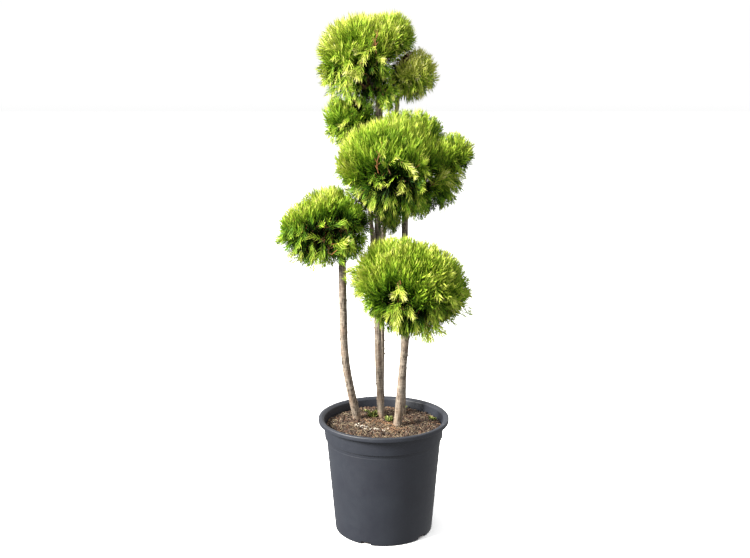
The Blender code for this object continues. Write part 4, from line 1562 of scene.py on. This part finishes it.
def outer_depth(height, tuft, fine, patch, rng):
    """How far under the clipped surface the tips of outer sprays end, before the lobe's size counts."""
    count = len(height)
    shallow = rng.random(count) < 0.5
    depth = np.where(shallow, rng.uniform(0.001, 0.009, count), rng.uniform(0.007, 0.026, count))
    depth += np.maximum(0.0, -tuft) * 0.018 + np.maximum(0.0, -fine) * 0.008
    depth += np.maximum(0.0, patch) * rng.uniform(0.0, 0.014, count)
    return depth * np.interp(height, (-1.0, -0.2, 0.4), (1.3, 1.15, 0.8))


def outer_tone(height, outward, tuft, fine, depth, patch, rng):
    """Tone of outer sprays, in painted light and shade: paler up the lobe and towards the key light, darker
    in the hollows and the deeper a tip stands.
    """
    # Painted light: sprays are paler up the lobe, where the light falls from above
    tone = np.interp(height, (-1.0, -0.4, 0.0, 0.5, 1.0), (1.5, 1.5, 2.3, 2.8, 3.0))
    # Painted light: paler towards the key light's side
    tone += 0.60 * np.maximum(0.0, outward @ KEY_LIGHT_SIDE)
    # Painted shade: darker in the hollows between tufts and clumps and the deeper a tip stands, then the
    # patches of painted shade and light
    return tone + (0.8 * tuft + 0.4 * fine + rng.normal(0, 0.22, len(height)) - depth * 60 - patch)


def plan_sprays(lobe, others, ball_painted_light, settings, rng, inner):
    """Where a lobe's sprays stand: a dictionary of arrays with a row for each spray. The frame's columns are
    its heading, its side and the way that its flat faces."""
    radii = np.array(lobe[1])
    size = radii.min()
    density = settings.density * (INNER_SHARE if inner else 1.0)
    count = round(surface_area(lobe) * density)
    spread = unit(golden_directions(count) + rng.normal(0, 0.9 / math.sqrt(count), (count, 3)))
    on_surface = clipped_surface(lobe, spread)
    # Low on a ball the sprays stand in loose tufts, with gaps between them
    tuft = clump(on_surface, TUFT_SCALE, 1.0)
    fine = clump(on_surface, CLUMP_SCALE, 5.0)
    # Painted shade from the listed patches, and painted light where they are below zero
    patch = painted_shade_and_light(on_surface)
    if not inner:
        portion = np.interp(spread[:, 2], (-1.0, -0.5, 0.0, 0.3), (0.65, 0.55, 0.65, 1.0))
        portion *= 1.0 - 0.22 * np.clip(patch, 0.0, 2.5)
        stay = rng.random(count) < portion * (1.0 + 3.0 * tuft * (1.0 - portion))
        parts = (spread, on_surface, tuft, fine, patch)
        spread, on_surface, tuft, fine, patch = (part[stay] for part in parts)
    count = len(spread)
    height = spread[:, 2]
    outward = growth(lobe, others, on_surface)
    hangs = rng.random(count) < np.interp(height, (-0.4, 0.20), (0.30, 0.0)) * (not inner)
    if inner:
        depth = rng.uniform(0.026, 0.052, count) * min(1.0, size / 0.075)
    else:
        depth = outer_depth(height, tuft, fine, patch, rng) * min(1.0, size / 0.08)
        depth[hangs] *= 0.6
    tip = on_surface - outward * depth[:, None]
    lift = np.interp(height, (-1.0, -0.65, -0.2, 0.3, 1.0), (-0.35, -0.20, 0.12, 0.42, 0.70))
    lift += rng.normal(0, np.interp(height, (-1.0, 0.0, 1.0), (0.30, 0.20, 0.16)))
    lift[hangs] -= 0.95
    drift = np.stack([clump(on_surface, DRIFT_SCALE, seed) for seed in (11.0, 23.0, 37.0)], axis=1)
    heading = outward + np.array([0.0, 0.0, 1.0]) * lift[:, None]
    heading = unit(heading + drift * 0.5 + rng.normal(0, 0.13, (count, 3)))
    length = settings.length * rng.uniform(0.65, 1.30, count)
    length = np.minimum(length, size * 0.95)
    length[hangs] *= 0.8
    bend = np.interp(height, (-1.0, -0.3, 0.2, 1.0), (-0.16, -0.06, 0.10, 0.10))
    bend += rng.normal(0, 0.06, count)
    root = tip - heading * length[:, None]
    root[:, 2] -= bend * length
    outside = depth_in(lobe, root) > SHELL_DEPTH
    heading[outside] = unit(heading[outside] + outward[outside] * 1.3)
    root[outside] = tip[outside] - heading[outside] * length[outside, None]
    bend[outside] = 0.0
    facing = unit(np.cross(heading, np.cross(outward, heading)) + rng.normal(0, 1e-3, (count, 3)))
    side = np.cross(facing, heading)
    most = np.where(hangs, 22, np.interp(height, (-0.5, 0.3), (45, 62)))
    roll = rng.normal(0, 1.0, count) * np.radians(most)
    normal = facing * np.cos(roll)[:, None] + side * np.sin(roll)[:, None]
    side = np.cross(normal, heading)
    if inner:
        # Painted shade: the inner sprays take the darkest tones, darker still in the patches of painted
        # shade
        tone = rng.uniform(-1.2, 0.5, count) - np.maximum(0.0, patch) * 0.6
    else:
        tone = outer_tone(height, outward, tuft, fine, depth, patch, rng)
        # Hanging sprays are pale; the patches of painted shade darken them a little
        tone[hangs] = 3.1 + 0.7 * tuft[hangs] - 0.45 * np.maximum(0.0, patch[hangs])
        tone[hangs] += rng.normal(0, 0.35, hangs.sum())
        # Painted light for the whole ball, and painted shade where its value is below zero
        tone += ball_painted_light
    return {
        "root": root,
        "tip": tip,
        "frame": np.stack([heading, side, normal], axis=2),
        "length": length,
        "bend": bend,
        "tone": tone,
    }


def plan_tuft(tuft, rng):
    """Where the sprays of one loose tuft stand."""
    at, toward, count, scatter, tone, length = tuft
    heading = unit(np.array(toward) + rng.normal(0, 0.22, (count, 3)))
    tip = np.array(at) + rng.normal(0, scatter, (count, 3))
    length = length * rng.uniform(0.85, 1.15, count)
    bend = rng.normal(0, 0.06, count)
    root = tip - heading * length[:, None]
    root[:, 2] -= bend * length
    front = np.array([0.0, -1.0, 0.35]) + rng.normal(0, 0.35, (count, 3))
    normal = unit(np.cross(heading, np.cross(front, heading)))
    return {
        "root": root,
        "tip": tip,
        "frame": np.stack([heading, np.cross(normal, heading), normal], axis=2),
        "length": length,
        "bend": bend,
        "tone": tone + rng.normal(0, 0.3, count),
    }


def out_of_hollows(plan):
    """Leaves out the sprays whose tips stand in one of the hollows."""
    away = [np.linalg.norm(plan["tip"] - np.array(at), axis=1) - radius for at, radius in HOLLOWS]
    keep = np.min(away, axis=0) > 0
    return {name: values[keep] for name, values in plan.items()}


def kept(plan, lobe, others, planes, limbs):
    """Which sprays stay: not buried in another lobe, past a fence or through a limb."""
    tip, root = plan["tip"], plan["root"]
    keep = np.ones(len(tip), bool)
    for other in others:
        keep &= depth_in(other, tip) > SHELL_DEPTH
    for owner, at, normal in planes:
        if owner == lobe:
            keep &= (tip - at) @ normal < 0.002
    heading, side = plan["frame"][:, :, 0], plan["frame"][:, :, 1]
    length = plan["length"][:, None]
    spots = ((0.1, 0.0), (0.5, 0.0), (0.6, 0.25), (0.6, -0.25), (1.0, 0.0))
    samples = [root + heading * length * a + side * length * s for a, s in spots]
    keep &= clear_of_limbs(np.stack(samples, axis=1), limbs)
    return {name: values[keep] for name, values in plan.items()}


def clipped(points, lobe, planes):
    """Pulls what stands out of the clipped surface, or past a fence, most of the way back."""
    centre = np.array(lobe[0])
    depth = depth_in(lobe, points)
    target = np.where(depth > CLIP_DEPTH, CLIP_DEPTH + (depth - CLIP_DEPTH) * CLIP_SHARE, depth)
    points = centre + (points - centre) * (target / np.maximum(depth, 1e-6))[..., None]
    for owner, at, normal in planes:
        if owner != lobe:
            continue
        beyond = np.maximum(0.0, (points - at) @ normal)
        points = points - normal * beyond[..., None] * 0.9
    return points


def put_sprays(heaps, plan, shapes, within, rng):
    """Adds sprays to the heaps, each from one of the shapes, clipped within (lobe, planes) where given."""
    chosen = rng.integers(len(shapes), size=len(plan["root"]))
    for index, (points, faces, steps) in enumerate(shapes):
        rows = np.flatnonzero(chosen == index)
        if not len(rows):
            continue
        length = plan["length"][rows]
        made = np.einsum("nij,vj->nvi", plan["frame"][rows] * length[:, None, None], points)
        made += plan["root"][rows][:, None]
        made[:, :, 2] += (plan["bend"][rows] * length)[:, None] * points[None, :, 0] ** 2
        if within:
            made = clipped(made, *within)
        tone = np.rint(plan["tone"][rows, None] + steps[None]).clip(0, PALEST_TONE).astype(int)
        tone[:, steps == WOODY] = TWIG_TONE
        start = np.arange(len(rows))[:, None, None] * len(points)
        if heaps[-1].triangles() + len(rows) * len(faces) > MOST_TRIANGLES:
            heaps.append(Heap())
        heaps[-1].put(made, faces[None] + start, tone.ravel())


def lobe_twigs(lobe, planes, rng):
    """Lines of the twigs that run from a lobe's heart towards its surface."""
    heart = lobe_heart(lobe)
    spread = golden_directions(max(10, round(surface_area(lobe) / TWIG_AREA)))
    reach = np.linalg.norm(clipped_surface(lobe, spread) - heart, axis=1)
    heading = (clipped_surface(lobe, spread) - heart) / reach[:, None]
    reach = reach - TWIG_SHORTFALL
    heading, reach = heading[reach > 0.01], reach[reach > 0.01]
    t = np.linspace(0.0, 1.0, 7)
    lines = heart + heading[:, None] * (reach[:, None] * t)[:, :, None]
    wander = rng.normal(0, 0.0035, (len(lines), 1, 3)) * np.sin(t * math.pi)[None, :, None]
    lines = lines + wander
    lines[:, :, 2] += 0.07 * reach[:, None] * (t**2 - t)[None]
    keep = np.ones(len(lines), bool)
    for owner, at, normal in planes:
        if owner == lobe:
            keep &= ((lines - at) @ normal < 0).all(axis=1)
    return lines[keep]


def put_twigs(heap, plan, lobe, lines):
    """Adds a lobe's twigs to the heap, and a twiglet from them to the root of each spray."""
    taper = np.linspace(*TWIG_RADII, lines.shape[1])
    heap.put(*tubes(lines, np.broadcast_to(taper, lines.shape[:2]), 5), 1)
    stations = lines[:, 1:].reshape(-1, 3)
    heart = lobe_heart(lobe)
    run = np.linalg.norm(stations - heart, axis=1)
    roots = plan["root"]
    far = np.linalg.norm(roots - heart, axis=1)
    starts = []
    for root, reach in zip(roots, far):
        cost = np.linalg.norm(stations - root, axis=1) + np.maximum(0.0, run - reach) * 1.5
        starts.append(stations[int(np.argmin(cost))])
    starts = np.array(starts)
    heading = plan["frame"][:, :, 0]
    span = np.linalg.norm(roots - starts, axis=1, keepdims=True)
    t = np.array([0.0, 0.5, 1.0])[None, :, None]
    bow = heading[:, None] * span[:, None] * -0.25 * 4 * t * (1 - t)
    twiglets = starts[:, None] * (1 - t) + roots[:, None] * t + bow
    heap.put(*tubes(twiglets, np.broadcast_to(TWIGLET_RADII, twiglets.shape[:2]), 3), 0)


def put_red_twig(heap, tip, toward, rng):
    """Adds a bare twig that ends at the tip, with short side twigs on it."""
    across_it = unit(np.cross(toward, [0.0, 1.0, 0.0]))
    t = np.linspace(0.0, 1.0, 7)[:, None]
    main = tip - toward * RED_TWIG_LENGTH * (1 - t) + across_it * 0.003 * np.sin(t * 4.0)
    lines = [main]
    for index, side in ((1, 1), (2, -1), (3, 1), (4, -1), (5, 1)):
        heading = unit(toward + across_it * side * 0.7 + rng.normal(0, 0.1, 3))
        lines.append(main[index] + heading * SIDE_TWIG_LENGTH * t)
    radii = np.linspace(*RED_TWIG_RADII, 7)
    heap.put(*tubes(np.array(lines), np.broadcast_to(radii, (len(lines), 7)), 4), 2)


def ball_boughs(name, limbs):
    """The ball's own stem and the boughs that join its lobes, as one bmesh of bark."""
    ball = BALLS[name]
    line, radii, _ = limbs[ball["limb"]]
    heading = directions(line)[-1]
    hearts = [Vector(lobe_heart(lobe)) for lobe in ball["lobes"]]
    start = line[-1] - heading * 0.004
    joint = line[-1] + heading * 0.012
    end = joint.lerp(hearts[0], 0.55)
    runs = [(start, joint, end, hearts[0])] + [(end, end.lerp(heart, 0.5), heart) for heart in hearts[1:]]
    whole = bmesh.new()
    for index, points in enumerate(runs):
        path = smooth_line(points, 0.004)
        first = radii[-1] * (1.0 if index == 0 else 0.7)
        thick = [first * (1 - 0.5 * i / (len(path) - 1)) for i in range(len(path))]
        bm = tube(path, thick, directions(path)[0], BOUGH_SIDES)
        for number, vert in enumerate(bm.verts):
            centre = path[number // BOUGH_SIDES]
            vert.co += (vert.co - centre) * 0.12 * noise.noise(vert.co * 300)
        piece = bpy.data.meshes.new("bough")
        bm.to_mesh(piece)
        bm.free()
        whole.from_mesh(piece)
        bpy.data.meshes.remove(piece)
    return whole


class TOPIARY_OT_foliage(bpy.types.Operator):
    """Grow each ball's boughs, twigs and sprays"""

    bl_idname = "topiary.foliage"
    bl_label = "Foliage"

    def execute(self, context):
        settings = context.scene.topiary_foliage
        rng = np.random.default_rng(SEED + 3)
        tones = foliage_materials(settings)
        bark = bpy.data.materials["weathered_fibrous_bark"]
        twig_finishes = [
            dry_matter("green_twig_wood", "5C4A2C", "84663C", 0.7, 8.0),
            dry_matter("brown_twig_wood", "5A4433", "8A6C52", 0.8, 6.0),
            dry_matter("red_brown_young_wood", "6E4529", "96683E", 0.7, 6.0),
        ]
        branchlet = branchlet_shape()
        outer_shapes, inner_shapes = (
            [spray_shape(rng, fingers, width, branchlet) for _ in range(count)]
            for count, fingers, width in (OUTER_SPRAYS, INNER_SPRAYS)
        )
        limbs = limb_lines()
        all_planes = fences()
        for name, ball in BALLS.items():
            planes = all_planes[name]
            heaps = [Heap()]
            twigs = Heap()
            for number, lobe in enumerate(ball["lobes"]):
                others = [other for other in ball["lobes"] if other is not lobe]
                outer = plan_sprays(lobe, others, ball["tone"], settings, rng, False)
                outer = kept(out_of_hollows(outer), lobe, others, planes, limbs)
                inner = plan_sprays(lobe, others, ball["tone"], settings, rng, True)
                inner = kept(inner, lobe, others, planes, limbs)
                loose = [plan_tuft(tuft, rng) for tuft in TUFTS.get((name, number), ())]
                put_sprays(heaps, outer, outer_shapes, (lobe, planes), rng)
                put_sprays(heaps, inner, inner_shapes, (lobe, planes), rng)
                for tuft in loose:
                    put_sprays(heaps, tuft, outer_shapes, None, rng)
                plans = [outer, inner, *loose]
                merged = {key: np.concatenate([plan[key] for plan in plans]) for key in outer}
                put_twigs(twigs, merged, lobe, lobe_twigs(lobe, planes, rng))
                if (name, number) in RED_TWIGS:
                    tip, toward = RED_TWIGS[name, number]
                    put_red_twig(twigs, np.array(tip), unit(np.array(toward)), rng)
            for number, heap in enumerate(heaps, 1):
                dress(heap.piece(f"sprays_{name}_{number}", tones), "foliage", name)
            dress(twigs.piece(f"twigs_{name}", twig_finishes, smooth=True), "foliage", name)
            dress(object_from(ball_boughs(name, limbs), f"boughs_{name}", bark), "bark", name)
        return {"FINISHED"}


# --- stage ---


class TOPIARY_OT_stage(bpy.types.Operator):
    """Set the floor, the lights and the camera"""

    bl_idname = "topiary.stage"
    bl_label = "Stage"

    def execute(self, context):
        settings = context.scene.topiary_stage
        bm = bmesh.new()
        bmesh.ops.create_grid(bm, x_segments=1, y_segments=1, size=60.0)
        bmesh.ops.translate(bm, verts=bm.verts, vec=(0.0, 0.0, -0.0004))
        floor = object_from(
            bm, "studio_floor", new_material("matt_white_floor", linear("FFFFFF"), 0.9, specular=0.0)[0]
        )
        # The white floor would light the balls from underneath as strongly as the sky does from above
        floor.visible_diffuse = False
        floor.visible_glossy = False

        world = bpy.data.worlds.new("white_surround")
        world.use_nodes = True
        tree = world.node_tree
        backdrop = tree.nodes["Background"]
        backdrop.inputs["Color"].default_value = (1.0, 1.0, 1.0, 1.0)
        place = add(tree, "ShaderNodeTexCoord", output="Generated")
        height = add(tree, "ShaderNodeSeparateXYZ", (place,), "Z")
        above = add(tree, "ShaderNodeMapRange", (height, 0.15, 1.0, 1.02, settings.zenith))
        below = add(tree, "ShaderNodeMapRange", (height, -0.15, 0.0, settings.below, 1.0))
        strength = add(tree, "ShaderNodeMath", (above, below), operation="MULTIPLY")
        tree.links.new(strength, backdrop.inputs["Strength"])
        context.scene.world = world

        key = bpy.data.lights.new("key", "AREA")
        key.shape = "DISK"
        key.size = KEY_SIZE
        key.energy = settings.key
        key.color = (1.0, 0.97, 0.91)
        lamp = bpy.data.objects.new("key", key)
        lamp.location = KEY_PLACE
        aim = Vector(KEY_AIM) - lamp.location
        lamp.rotation_euler = aim.to_track_quat("-Z", "Y").to_euler()
        context.scene.collection.objects.link(lamp)

        lens = bpy.data.cameras.new("camera")
        lens.sensor_width = SENSOR_WIDTH
        lens.lens = FOCAL_PIXELS * SENSOR_WIDTH / FRAME_WIDTH
        lens.shift_x = SHIFT_PIXELS / FRAME_WIDTH
        lens.clip_start = 0.05
        lens.clip_end = 200.0
        camera = bpy.data.objects.new("camera", lens)
        camera.location = (0.0, -settings.distance, settings.eye_height)
        camera.rotation_euler = (math.radians(90 - CAMERA_TILT), 0.0, 0.0)
        context.scene.collection.objects.link(camera)
        context.scene.camera = camera
        context.scene.view_settings.view_transform = "Standard"
        return {"FINISHED"}


# --- panel and main ---

SETTINGS = {
    "topiary_pot": PotSettings,
    "topiary_soil": SoilSettings,
    "topiary_bark": BarkSettings,
    "topiary_foliage": FoliageSettings,
    "topiary_stage": StageSettings,
}
STEPS = (
    TOPIARY_OT_pot,
    TOPIARY_OT_soil,
    TOPIARY_OT_litter,
    TOPIARY_OT_stems,
    TOPIARY_OT_foliage,
    TOPIARY_OT_stage,
)


class TOPIARY_PT_panel(bpy.types.Panel):
    """Lists the builders and their settings"""

    bl_label = "Ball topiary"
    bl_idname = "TOPIARY_PT_panel"
    bl_space_type = "VIEW_3D"
    bl_region_type = "UI"
    bl_category = "Topiary"

    def draw(self, context):
        for step in STEPS:
            self.layout.operator(step.bl_idname)
        for name in SETTINGS:
            box = self.layout.box()
            group = getattr(context.scene, name)
            for key in group.bl_rna.properties.keys():
                if key not in ("rna_type", "name"):
                    box.prop(group, key)


def register():
    for kind in (*SETTINGS.values(), *STEPS, TOPIARY_PT_panel):
        bpy.utils.register_class(kind)
    for name, group in SETTINGS.items():
        setattr(bpy.types.Scene, name, bpy.props.PointerProperty(type=group))


def unregister():
    for name in SETTINGS:
        delattr(bpy.types.Scene, name)
    for kind in reversed((*SETTINGS.values(), *STEPS, TOPIARY_PT_panel)):
        bpy.utils.unregister_class(kind)


def main():
    """Builds everything in order."""
    register()
    for step in STEPS:
        family, action = step.bl_idname.split(".")
        getattr(getattr(bpy.ops, family), action)()
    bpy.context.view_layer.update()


if __name__ == "__main__":
    main()
